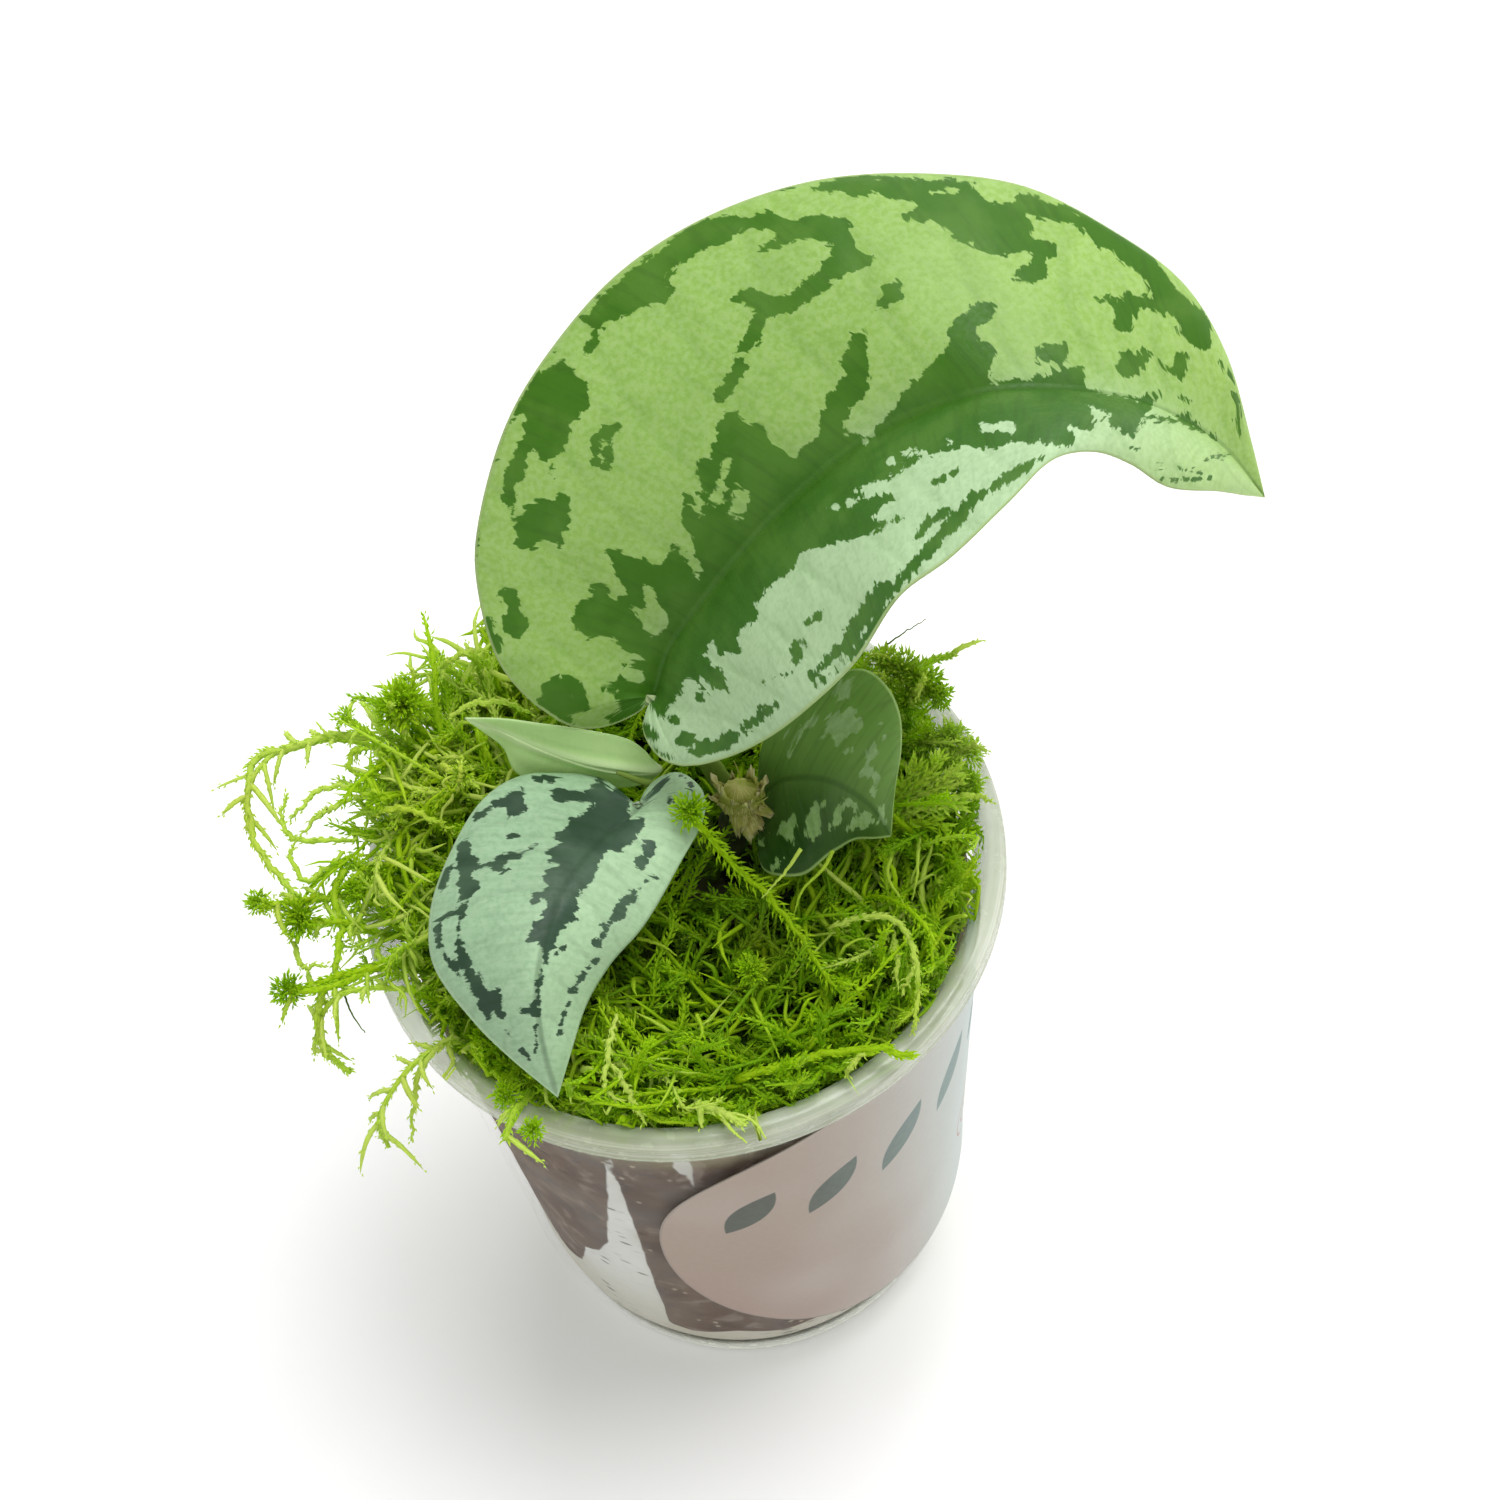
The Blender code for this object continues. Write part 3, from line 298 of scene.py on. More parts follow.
LARGE_STROKES = [
    [(590, 320, 6), (603, 312, 11), (620, 300, 17), (640, 285, 18), (662, 263, 13), (682, 247, 12),
     (700, 235, 14), (722, 228, 13), (745, 222, 6), (765, 219, 8), (790, 229, 10), (815, 228, 14),
     (838, 232, 13), (845, 245, 11), (843, 260, 12), (856, 262, 10), (866, 260, 7)],
    [(843, 262, 12), (828, 273, 11), (812, 287, 8), (792, 302, 8), (772, 308, 10), (760, 316, 9),
     (753, 335, 8), (744, 352, 7), (736, 370, 6), (728, 387, 6), (720, 398, 6)],
    [(765, 304, 7), (748, 297, 9), (735, 299, 5), (728, 301, 2)],
    [(790, 236, 7), (775, 243, 5), (758, 249, 2)],
    [(635, 300, 8), (651, 301, 4), (662, 296, 7), (670, 289, 3)],
    [(600, 325, 5), (596, 335, 3), (590, 348, 2.5), (580, 364, 2)],
    [(596, 436, 3), (606, 431, 5), (617, 428, 3)],
    [(595, 440, 3), (595, 452, 2.5), (597, 464, 2)],
    [(611, 436, 3), (609, 455, 3), (608, 467, 3)],
    [(808, 622, 3), (818, 615, 4)],
    [(795, 650, 5), (802, 642, 5)],
    [(789, 664, 1), (796, 658, 4), (803, 651, 2)],
    [(765, 681, 0.6), (780, 676, 1.2), (793, 672, 0.6)],
    [(812, 675, 5), (824, 664, 4), (845, 645, 7), (860, 622, 8), (873, 603, 8), (884, 590, 9), (896, 585, 5)],
    [(818, 686, 1), (835, 672, 4), (855, 650, 4), (875, 624, 4), (896, 600, 4)],
    [(896, 588, 6), (912, 566, 5), (934, 545, 6), (952, 524, 6), (972, 500, 6), (992, 487, 4), (1022, 470, 4),
     (1044, 457, 1.5)],
    [(915, 540, 2), (930, 522, 4), (948, 510, 3)],
    [(932, 482, 1), (945, 478, 3), (960, 469, 1.5)],
    [(1180, 396, 1.5), (1186, 398, 3), (1191, 402, 1.5)],
    [(1220, 360, 0.8), (1230, 378, 1.5), (1236, 395, 2), (1238, 420, 3), (1240, 438, 1)],
    [(1205, 459, 1), (1218, 456, 2), (1230, 455, 0.8)],
    [(1135, 465, 0.8), (1167, 466, 1.6), (1205, 474, 1)],
    [(1162, 480, 0.8), (1190, 479, 1.6), (1216, 478, 0.8)],
    [(1131, 448, 1), (1136, 450, 2)],
    [(645, 731, 6), (652, 735, 5)],
    [(645, 742, 0.8), (656, 752, 1.5), (672, 758, 0.8)],
    [(741, 197, 0.8), (765, 192, 2), (797, 187, 2)],
    [(612, 281, 0.6), (598, 296, 1.4), (580, 315, 1.6), (565, 335, 1.4), (553, 350, 0.6)],
    [(480, 512, 0.6), (476, 540, 1.4), (474, 565, 0.6)],
    [(672, 719, 4), (678, 722, 3)],
    [(648, 690, 6), (660, 680, 14), (672, 660, 20), (690, 635, 22), (715, 600, 22), (745, 560, 20)],
]
FRONT_PATCHES = [
    [
        (595, 776), (603, 775), (607, 785), (612, 790), (618, 786), (622, 780), (628, 790), (630, 800),
        (628, 810), (630, 820), (640, 818), (645, 818), (643, 823), (638, 830), (637, 840), (630, 845),
        (620, 852), (610, 850), (603, 855), (600, 865), (595, 873), (593, 883), (583, 890), (577, 897),
        (578, 908), (575, 920), (567, 925), (560, 935), (555, 945), (550, 955), (548, 965), (543, 963),
        (541, 955), (543, 942), (533, 944), (527, 945), (523, 942), (530, 932), (535, 922), (542, 915),
        (546, 908), (546, 900), (540, 898), (535, 905), (531, 900), (533, 893), (545, 888), (548, 883),
        (543, 878), (555, 875), (545, 873), (552, 868), (560, 865), (545, 862), (550, 857), (543, 853),
        (552, 847), (563, 842), (555, 838), (556, 832), (565, 830), (570, 820), (575, 815), (585, 813),
        (588, 808), (595, 802), (580, 801), (560, 800), (553, 797), (551, 792), (560, 789), (575, 790),
        (590, 790), (597, 787),
    ],
    [
        (520, 787), (526, 790), (524, 800), (526, 812), (515, 818), (505, 823), (503, 815), (505, 808),
        (498, 806), (488, 812), (478, 820), (471, 829), (475, 818), (483, 808), (493, 802), (502, 800),
        (510, 792),
    ],
    [
        (490, 864), (500, 855), (510, 852), (522, 850), (530, 847), (538, 845), (528, 853), (520, 860),
        (508, 861), (503, 866), (508, 870), (500, 874), (492, 872),
    ],
    [
        (458, 843), (468, 840), (470, 845), (475, 857), (482, 865), (477, 867), (471, 873), (472, 880),
        (480, 885), (475, 892), (470, 900), (465, 912), (462, 925), (462, 940), (466, 952), (472, 962),
        (475, 975), (480, 972), (484, 985), (485, 990), (500, 990), (500, 1003), (503, 1016), (493, 1010),
        (487, 1017), (480, 1008), (470, 990), (462, 968), (455, 950), (456, 930), (458, 915), (445, 920),
        (433, 925), (433, 921), (445, 916), (455, 911), (462, 903), (465, 893), (458, 885), (460, 872),
        (455, 862), (458, 852),
    ],
    [(437, 893), (436, 880), (442, 872), (448, 865), (455, 862), (450, 872), (445, 885), (442, 893)],
    [
        (660, 877), (650, 882), (643, 885), (638, 893), (635, 902), (627, 908), (622, 917), (612, 925),
        (607, 935), (602, 945), (597, 952), (593, 945), (600, 935), (602, 925), (612, 917), (615, 908),
        (620, 897), (628, 892), (640, 888), (645, 877),
    ],
    [(642, 842), (650, 842), (657, 843), (655, 855), (647, 862), (640, 870), (635, 867), (638, 858), (643, 852)],
    [(520, 1009), (530, 1003), (537, 998), (540, 1005), (538, 1020), (532, 1012), (523, 1011)],
]
FRONT_STROKES = [
    [(533, 778, 2), (553, 779, 3)],
    [(509, 836, 2), (515, 833, 3.5), (520, 835, 1.5)],
    [(466, 846, 4), (469, 860, 5), (466, 880, 4), (462, 900, 3)],
    [(437, 925, 3), (438, 940, 3), (445, 956, 3), (455, 968, 3)],
    [(450, 960, 1), (470, 990, 1.3), (487, 1015, 1)],
    [(468, 968, 3), (477, 985, 5), (488, 1000, 6), (496, 1008, 3)],
    [(605, 954, 0.8), (590, 965, 2), (577, 984, 3), (570, 991, 1)],
    [(590, 965, 1), (565, 1010, 1.2), (558, 1035, 0.8)],
    [(545, 960, 2), (539, 980, 1.6), (538, 1000, 2)],
    [(534, 1018, 0.8), (537, 1045, 1.4), (535, 1052, 0.8)],
    [(505, 1030, 0.6), (520, 1048, 1.2), (529, 1058, 0.6)],
    [(555, 955, 2.5), (563, 947, 2.5)],
    [(645, 800, 2.5), (656, 790, 4), (668, 778, 2)],
    [(670, 800, 4), (680, 799, 3)],
    [(684, 774, 3.5), (686, 777, 2)],
    [(691, 786, 3.5), (692, 789, 2)],
]
# Light flecks of the right leaf
RIGHT_PATCHES = [
    [(857, 676), (852, 682), (850, 690), (847, 700), (840, 702), (836, 695), (840, 686), (847, 679)],
    [
        (817, 741), (822, 732), (825, 722), (832, 715), (840, 713), (847, 707), (855, 707), (860, 709),
        (856, 715), (864, 720), (863, 728), (857, 735), (850, 733), (843, 740), (838, 746), (834, 740),
        (830, 733), (824, 737),
    ],
    [(843, 752), (850, 745), (857, 742), (859, 748), (853, 755), (846, 757)],
    [(881, 725), (884, 732), (887, 738), (884, 741), (881, 735)],
    [
        (875, 740), (876, 750), (873, 758), (870, 765), (876, 770), (883, 778), (878, 788), (874, 797),
        (870, 792), (874, 783), (868, 775), (860, 776), (858, 772), (864, 765), (864, 755), (869, 747),
    ],
    [(877, 805), (882, 805), (885, 815), (887, 825), (882, 822), (878, 815)],
    [
        (829, 827), (833, 818), (838, 808), (845, 800), (852, 798), (860, 803), (862, 810), (872, 816),
        (878, 823), (870, 826), (860, 829), (850, 832), (847, 828), (850, 820), (857, 815), (853, 808),
        (846, 805), (842, 812), (840, 820), (835, 828),
    ],
    [
        (825, 800), (823, 808), (820, 815), (822, 822), (820, 832), (812, 840), (805, 838), (803, 828),
        (806, 818), (812, 810), (820, 802),
    ],
    [(795, 811), (796, 820), (793, 832), (790, 845), (785, 835), (777, 833), (782, 825), (788, 822)],
    [(768, 834), (763, 843), (758, 852), (752, 853), (752, 846), (758, 840)],
    [(785, 857), (780, 866), (772, 874), (770, 866), (777, 859)],
    [(806, 725), (810, 718), (816, 712), (815, 722), (808, 730)],
]
RIGHT_STROKES = [
    [(789, 755, 1), (795, 742, 2), (800, 728, 1)],
    [(783, 740, 1), (790, 730, 1.5)],
]


def distance_to_segments(points, starts, ends, widths_a, widths_b):
    """Least distance from each point to a chain of segments, less their half widths."""
    best = np.full(len(points), 1e9)
    for a, b, wa, wb in zip(starts, ends, widths_a, widths_b):
        run = b - a
        t = np.clip(((points - a) @ run) / max(run @ run, 1e-9), 0, 1)
        gap = np.linalg.norm(points - a - t[:, None] * run, axis=1) - (wa + (wb - wa) * t)
        best = np.minimum(best, gap)
    return best


def outside_patch(points, outline):
    """Signed distance to a closed outline, negative inside."""
    corners = np.array(outline, float)
    after = np.roll(corners, -1, axis=0)
    none = np.zeros(len(corners))
    gap = distance_to_segments(points, corners, after, none, none)
    inside = np.zeros(len(points), bool)
    x, y = points[:, 0], points[:, 1]
    for (ax, ay), (bx, by) in zip(corners, after):
        if ay == by:
            continue
        crosses = (ay > y) != (by > y)
        inside ^= crosses & (x < ax + (bx - ax) * (y - ay) / (by - ay))
    return np.where(inside, -gap, gap)


def outside_markings(points, patches, strokes, holes=()):
    best = np.full(len(points), 1e9)
    for outline in patches:
        best = np.minimum(best, outside_patch(points, outline))
    for stroke in strokes:
        s = np.array(stroke, float)
        gap = distance_to_segments(points, s[:-1, :2], s[1:, :2], s[:-1, 2], s[1:, 2])
        best = np.minimum(best, gap)
    for outline in holes:
        best = np.maximum(best, -outside_patch(points, outline))
    return np.clip(best, -30, 30)


def smooth_path(points, count):
    """A Catmull-Rom curve through the points, with the parameter by chord."""
    pts = np.array(points, float)
    step = np.sqrt(np.linalg.norm(np.diff(pts[:, :3], axis=0), axis=1)) + 1e-6
    knots = np.concatenate([[0], np.cumsum(step)])
    slopes = np.zeros_like(pts)
    grow = np.diff(pts, axis=0) / np.diff(knots)[:, None]
    slopes[0] = grow[0]
    slopes[-1] = grow[-1]
    before = np.diff(knots)[:-1, None]
    after = np.diff(knots)[1:, None]
    slopes[1:-1] = (grow[:-1] * after + grow[1:] * before) / (before + after)
    t = np.linspace(0, knots[-1], count)
    i = np.minimum(np.searchsorted(knots, t, side="right") - 1, len(pts) - 2)
    span = (knots[i + 1] - knots[i])[:, None]
    u = (t - knots[i])[:, None] / span
    return (
        (2 * u**3 - 3 * u**2 + 1) * pts[i]
        + (u**3 - 2 * u**2 + u) * span * slopes[i]
        + (3 * u**2 - 2 * u**3) * pts[i + 1]
        + (u**3 - u**2) * span * slopes[i + 1]
    )


def wall_radius(z):
    """Outer radius of the cup wall at a height."""
    if z <= FOOT_HEIGHT:
        return FOOT_RADIUS
    if z < SHOULDER_HEIGHT:
        drop = (z - FOOT_HEIGHT) / (SHOULDER_HEIGHT - FOOT_HEIGHT)
        return FOOT_RADIUS + (SHOULDER_RADIUS - FOOT_RADIUS) * math.sin(math.acos(1 - drop))
    rise = (z - SHOULDER_HEIGHT) / (NECK_HEIGHT - SHOULDER_HEIGHT)
    return SHOULDER_RADIUS + (NECK_RADIUS - SHOULDER_RADIUS) * rise


# Mesh making


def piece(name, points, faces, skin, node, values=None, smooth=True):
    """A mesh object from points in millimetres, on the one body. Its triangles are flat unless smooth."""
    points = np.asarray(points, float)
    mesh = bpy.data.meshes.new(name)
    mesh.vertices.add(len(points))
    mesh.vertices.foreach_set("co", (points / 1000).astype(np.float32).ravel())
    loops = np.concatenate([np.asarray(f, np.int32).ravel() for f in faces])
    counts = np.concatenate([np.full(len(f), np.asarray(f).shape[1], np.int32) for f in faces])
    mesh.loops.add(len(loops))
    mesh.loops.foreach_set("vertex_index", loops)
    mesh.polygons.add(len(counts))
    mesh.polygons.foreach_set("loop_start", np.concatenate([[0], np.cumsum(counts)[:-1]]).astype(np.int32))
    mesh.update(calc_edges=True)
    for key, numbers in (values or {}).items():
        layer = mesh.attributes.new(key, "FLOAT", "POINT")
        layer.data.foreach_set("value", np.asarray(numbers, np.float32))
    mesh.polygons.foreach_set("use_smooth", (counts != 3) | smooth)
    mesh.validate()
    mesh.materials.append(skin)
    made = bpy.data.objects.new(name, mesh)
    bpy.context.scene.collection.objects.link(made)
    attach(made, "root")
    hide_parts(node)
    return made


def frames(paths):
    """Unit directions along and across each path, for paths of shape (n, k, 3)."""
    along = np.gradient(paths, axis=1)
    along /= np.linalg.norm(along, axis=2, keepdims=True) + 1e-9
    whole = paths[:, -1] - paths[:, 0]
    whole /= np.linalg.norm(whole, axis=1, keepdims=True) + 1e-9
    reference = np.where(np.abs(whole[:, 2:3]) < 0.8, [[0.0, 0.0, 1.0]], [[1.0, 0.0, 0.0]])
    side = np.cross(along, reference[:, None, :])
    side /= np.linalg.norm(side, axis=2, keepdims=True) + 1e-9
    return along, side, np.cross(along, side)


def tubes(paths, radii, sides):
    """Closed tubes round many paths at once: points, quads and end caps."""
    count, rings, _ = paths.shape
    _, side, third = frames(paths)
    turn = 2 * math.pi * np.arange(sides) / sides
    points = paths[:, :, None, :] + radii[:, :, None, None] * (
        np.cos(turn)[None, None, :, None] * side[:, :, None, :]
        + np.sin(turn)[None, None, :, None] * third[:, :, None, :]
    )
    ring = np.arange(rings - 1)[:, None] * sides
    j = np.arange(sides)[None, :]
    after = (j + 1) % sides
    quad = np.stack([ring + j, ring + after, ring + sides + after, ring + sides + j], -1).reshape(-1, 4)
    start = np.arange(count)[:, None, None] * rings * sides
    quads = (start + quad[None]).reshape(-1, 4)
    first = start[:, 0] + np.arange(sides)[::-1][None]
    last = start[:, 0] + (rings - 1) * sides + np.arange(sides)[None]
    return points.reshape(-1, 3), quads, np.concatenate([first, last])


class Bunch:
    """Meshes gathered into one, with their attributes."""

    def __init__(self):
        self.points = []
        self.faces = []
        self.values = {}
        self.size = 0

    def add(self, points, faces, **values):
        self.points.append(points)
        self.faces += [np.asarray(f) + self.size for f in faces]
        for key, numbers in values.items():
            self.values.setdefault(key, []).append(np.broadcast_to(numbers, len(points)))
        self.size += len(points)

    def make(self, name, skin, node, smooth=True):
        values = {key: np.concatenate(parts) for key, parts in self.values.items()}
        return piece(name, np.concatenate(self.points), self.faces, skin, node, values, smooth)


def lathe(profile, steps):
    """Rings of a closed profile of (radius, height) that starts and ends on the axis or joins itself."""
    profile = np.array(profile, float)
    closed = profile[0, 0] > 0
    turn = 2 * math.pi * np.arange(steps) / steps
    rings = profile if closed else profile[1:-1]
    points = np.stack([
        rings[:, None, 0] * np.sin(turn)[None],
        -rings[:, None, 0] * np.cos(turn)[None],
        np.broadcast_to(rings[:, None, 1], (len(rings), steps)),
    ], -1).reshape(-1, 3)
    j = np.arange(steps)
    after = (j + 1) % steps
    rows = len(rings) if closed else len(rings) - 1
    quads = []
    for i in range(rows):
        k = (i + 1) % len(rings)
        quads.append(np.stack([i * steps + j, i * steps + after, k * steps + after, k * steps + j], -1))
    faces = [np.concatenate(quads)]
    if not closed:
        low, high = len(points), len(points) + 1
        points = np.concatenate([points, [[0, 0, profile[0, 1]], [0, 0, profile[-1, 1]]]])
        faces.append(np.stack([np.full(steps, low), after, j], -1))
        top = (len(rings) - 1) * steps
        faces.append(np.stack([np.full(steps, high), top + j, top + after], -1))
    return points, faces


def rounded(corners, radius, count=5):
    """The corners of an open line of (r, z), each cut by a short curve."""
    pts = np.array(corners, float)
    out = [pts[0]]
    for before, here, after in zip(pts[:-2], pts[1:-1], pts[2:]):
        a, b = before - here, after - here
        reach = min(radius, 0.45 * np.linalg.norm(a), 0.45 * np.linalg.norm(b))
        a = here + a / np.linalg.norm(a) * reach
        b = here + b / np.linalg.norm(b) * reach
        for t in np.linspace(0, 1, count):
            out.append((1 - t) ** 2 * a + 2 * t * (1 - t) * here + t * t * b)
    out.append(pts[-1])
    return np.array(out)


# Shader making


def rgb(code):
    """A colour code as linear numbers."""
    parts = [int(code[k:k + 2], 16) / 255 for k in (1, 3, 5)]
    return tuple(c / 12.92 if c <= 0.04045 else ((c + 0.055) / 1.055) ** 2.4 for c in parts) + (1.0,)


class Skin:
    """A node material and short names for the nodes that it uses."""

    def __init__(self, name):
        self.material = bpy.data.materials.new(name)
        self.material.use_nodes = True
        self.tree = self.material.node_tree
        self.shader = self.tree.nodes["Principled BSDF"]
        self.output = self.tree.nodes["Material Output"]
        self.place = None

    def node(self, kind, **settings):
        made = self.tree.nodes.new("ShaderNode" + kind)
        for key, value in settings.items():
            setattr(made, key, value)
        return made

    def feed(self, socket, value):
        if isinstance(value, bpy.types.NodeSocket):
            self.tree.links.new(value, socket)
        else:
            socket.default_value = value

    def attribute(self, name):
        return self.node("Attribute", attribute_name=name).outputs["Fac"]

    def object_place(self):
        if self.place is None:
            self.place = self.node("TexCoord").outputs["Object"]
        return self.place

    def axis(self, which):
        split = self.node("SeparateXYZ")
        self.feed(split.inputs[0], self.object_place())
        return split.outputs[which]

    def vector(self, x, y, z=0.0):
        join = self.node("CombineXYZ")
        for socket, value in zip(join.inputs, (x, y, z)):
            self.feed(socket, value)
        return join.outputs[0]

    def maths(self, operation, a, b=0.0):
        made = self.node("Math", operation=operation)
        self.feed(made.inputs[0], a)
        self.feed(made.inputs[1], b)
        return made.outputs[0]

    def noise(self, scale, detail=2.0, where=None, distortion=0.0):
        made = self.node("TexNoise")
        self.feed(made.inputs["Vector"], where or self.object_place())
        made.inputs["Scale"].default_value = scale
        made.inputs["Detail"].default_value = detail
        made.inputs["Distortion"].default_value = distortion
        return made.outputs["Fac"]

    def cells(self, scale, where=None):
        made = self.node("TexVoronoi")
        self.feed(made.inputs["Vector"], where or self.object_place())
        made.inputs["Scale"].default_value = scale
        return made.outputs["Distance"]

    def cell_value(self, scale, where=None):
        """A random number for each cell."""
        made = self.node("TexVoronoi")
        self.feed(made.inputs["Vector"], where or self.object_place())
        made.inputs["Scale"].default_value = scale
        split = self.node("SeparateColor")
        self.feed(split.inputs[0], made.outputs["Color"])
        return split.outputs[0]

    def between(self, value, low, high, start=0.0, end=1.0):
        """start at low, end at high, and smooth in between."""
        made = self.node("MapRange", interpolation_type="SMOOTHSTEP")
        self.feed(made.inputs["Value"], value)
        for key, number in (("From Min", low), ("From Max", high), ("To Min", start), ("To Max", end)):
            made.inputs[key].default_value = number
        return made.outputs["Result"]

    def blend(self, share, a, b, kind="MIX"):
        made = self.node("Mix", data_type="RGBA", blend_type=kind)
        self.feed(made.inputs[0], share)
        self.feed(made.inputs[6], rgb(a) if isinstance(a, str) else a)
        self.feed(made.inputs[7], rgb(b) if isinstance(b, str) else b)
        return made.outputs[2]

    def bump(self, height, strength, distance):
        made = self.node("Bump")
        made.inputs["Strength"].default_value = strength
        made.inputs["Distance"].default_value = distance
        self.feed(made.inputs["Height"], height)
        self.feed(self.shader.inputs["Normal"], made.outputs["Normal"])
        return made.outputs["Normal"]

    def see_through(self, colour, share, normal=None):
        """Lets some of the light through, as a leaf does."""
        through = self.node("BsdfTranslucent")
        self.feed(through.inputs["Color"], colour)
        if normal is not None:
            self.feed(through.inputs["Normal"], normal)
        both = self.node("MixShader")
        self.feed(both.inputs[0], share)
        self.tree.links.new(self.shader.outputs[0], both.inputs[1])
        self.tree.links.new(through.outputs[0], both.inputs[2])
        self.tree.links.new(both.outputs[0], self.output.inputs["Surface"])


def leaf_skin(name, light, light_far, dark, dark_far, under, edge_colour, long_mm, jag, glow=0.2, ripe=None):
    """Silver leaf with dark markings; far colours show where the tone attribute is 1, which on the large, front and
    right leaves is a painted sheen on the half that catches the light.
    """
    s = Skin(name)
    along = s.attribute("along")
    across = s.attribute("across")
    rib = s.attribute("rib")
    edge = s.attribute("edge")
    tone = s.attribute("tone")
    areoles = s.vector(s.maths("MULTIPLY", along, long_mm / 0.85), s.maths("MULTIPLY", across, 0.55))
    steps = s.maths("MULTIPLY", s.maths("SUBTRACT", s.cell_value(1.0, areoles), 0.5), jag)
    small = s.vector(s.maths("MULTIPLY", along, long_mm / 0.40), s.maths("MULTIPLY", across, 1.1))
    steps = s.maths("ADD", steps, s.maths("MULTIPLY", s.maths("SUBTRACT", s.cell_value(1.0, small), 0.5), 0.5 * jag))
    comb = s.vector(s.maths("MULTIPLY", along, long_mm / 0.6), s.maths("MULTIPLY", across, 0.16))
    teeth = s.maths("MULTIPLY", s.maths("SUBTRACT", s.noise(1.0, 3.0, comb), 0.5), 2.2 * jag)
    marked = s.between(s.maths("ADD", s.attribute("mark"), s.maths("ADD", teeth, steps)), -0.8, 0.8, 1.0, 0.0)
    satin = s.noise(1900.0, 4.0)
    patchy = s.noise(170.0, 3.0)
    streak = s.noise(1.0, 3.0, s.vector(s.maths("MULTIPLY", along, 22.0 + long_mm), s.maths("MULTIPLY", across, 0.13)))
    # On the large, front and right leaves the far colours are a painted sheen on the half that catches the light.
    silver = s.blend(tone, light, light_far)
    if ripe:
        silver = s.blend(s.between(along, 0.62, 1.0, 0.0, 0.75), silver, ripe)
    silver = s.blend(s.between(satin, 0.36, 0.66, 0.0, 0.10), silver, "#E4F0D4")
    silver = s.blend(s.between(satin, 0.34, 0.50, 0.06, 0.0), silver, dark)
    silver = s.blend(s.between(streak, 0.44, 0.7, 0.0, 0.26), silver, s.blend(0.40, silver, dark))
    silver = s.blend(s.between(patchy, 0.4, 0.7, 0.0, 0.4), silver, s.blend(0.22, silver, dark))
    silver = s.blend(s.between(s.cell_value(1.0, small), 0.5, 0.9, 0.0, 0.06), silver, dark)
    deep = s.blend(tone, dark, dark_far)
    deep = s.blend(s.between(patchy, 0.42, 0.62, 0.0, 0.4), deep, s.blend(0.25, deep, light))
    deep = s.blend(s.between(streak, 0.48, 0.66, 0.0, 0.35), deep, s.blend(0.5, deep, "#1E3A08"))
    top = s.blend(marked, silver, deep)
    top = s.blend(s.between(s.attribute("vein"), 0.90, 1.0, 0.0, 0.20), top, s.blend(0.5, top, dark))
    # Darker along the midrib: partly the rib's own green, partly painted shade in its groove.
    top = s.blend(s.between(rib, 0.10, 0.50, 0.40, 0.0), top, s.blend(0.4, dark, "#1E3A14"))
    top = s.blend(s.between(edge, 0.12, 0.34, 0.8, 0.0), top, edge_colour)
    below = s.blend(s.between(satin, 0.35, 0.7, 0.0, 0.4), under, s.blend(0.3, under, dark))
    below = s.blend(s.between(s.attribute("vein"), 0.60, 1.0, 0.0, 0.22), below, s.blend(0.22, under, "#F0F8D8"))
    below = s.blend(s.between(rib, 0.3, 0.9, 0.55, 0.0), below, s.blend(0.5, under, "#F2F6D8"))
    below = s.blend(s.maths("MULTIPLY", marked, 0.22), below, dark)
    colour = s.blend(s.attribute("under"), top, below)
    stalk = s.blend(s.between(s.noise(300.0, 3.0), 0.35, 0.7), "#86A444", "#7C9440")
    colour = s.blend(s.attribute("stalk"), colour, stalk)
    s.feed(s.shader.inputs["Base Color"], colour)
    s.feed(s.shader.inputs["Roughness"], s.between(satin, 0.3, 0.7, 0.40, 0.56))
    s.shader.inputs["Specular IOR Level"].default_value = 0.28
    height = s.maths("ADD", s.maths("MULTIPLY", satin, 0.5), s.maths("MULTIPLY", streak, 0.6))
    normal = s.bump(height, 0.35, 0.00012)
    s.see_through(s.blend(0.5, colour, s.blend(0.5, colour, "#A8D018")), glow, normal)
    return s.material


def margin_stations(margin, spine, lobe_count, shares):
    """Points of one margin: some round the lobe, then one for each share of the spine."""
    ends = [(*spine[0], 0.0)] + list(margin) + [(*spine[-1], 1.0)]
    fine = smooth_path(ends, 1200)
    feet = np.maximum.accumulate(np.clip(fine[:, 3], 0, 1))
    shoulder = max(k for k, row in enumerate(ends) if row[3] == 0.0)
    nearest = np.linalg.norm(fine[:, :3] - np.array(ends[shoulder][:3]), axis=1)
    turn = int(np.argmin(nearest))
    lobe = np.linspace(0, turn, lobe_count, endpoint=False)
    rest = np.interp(shares, feet[turn:] + 1e-9 * np.arange(1200 - turn), np.arange(turn, 1200))
    where = np.concatenate([lobe, rest])
    return np.stack([np.interp(where, np.arange(1200), fine[:, k]) for k in range(3)], 1)


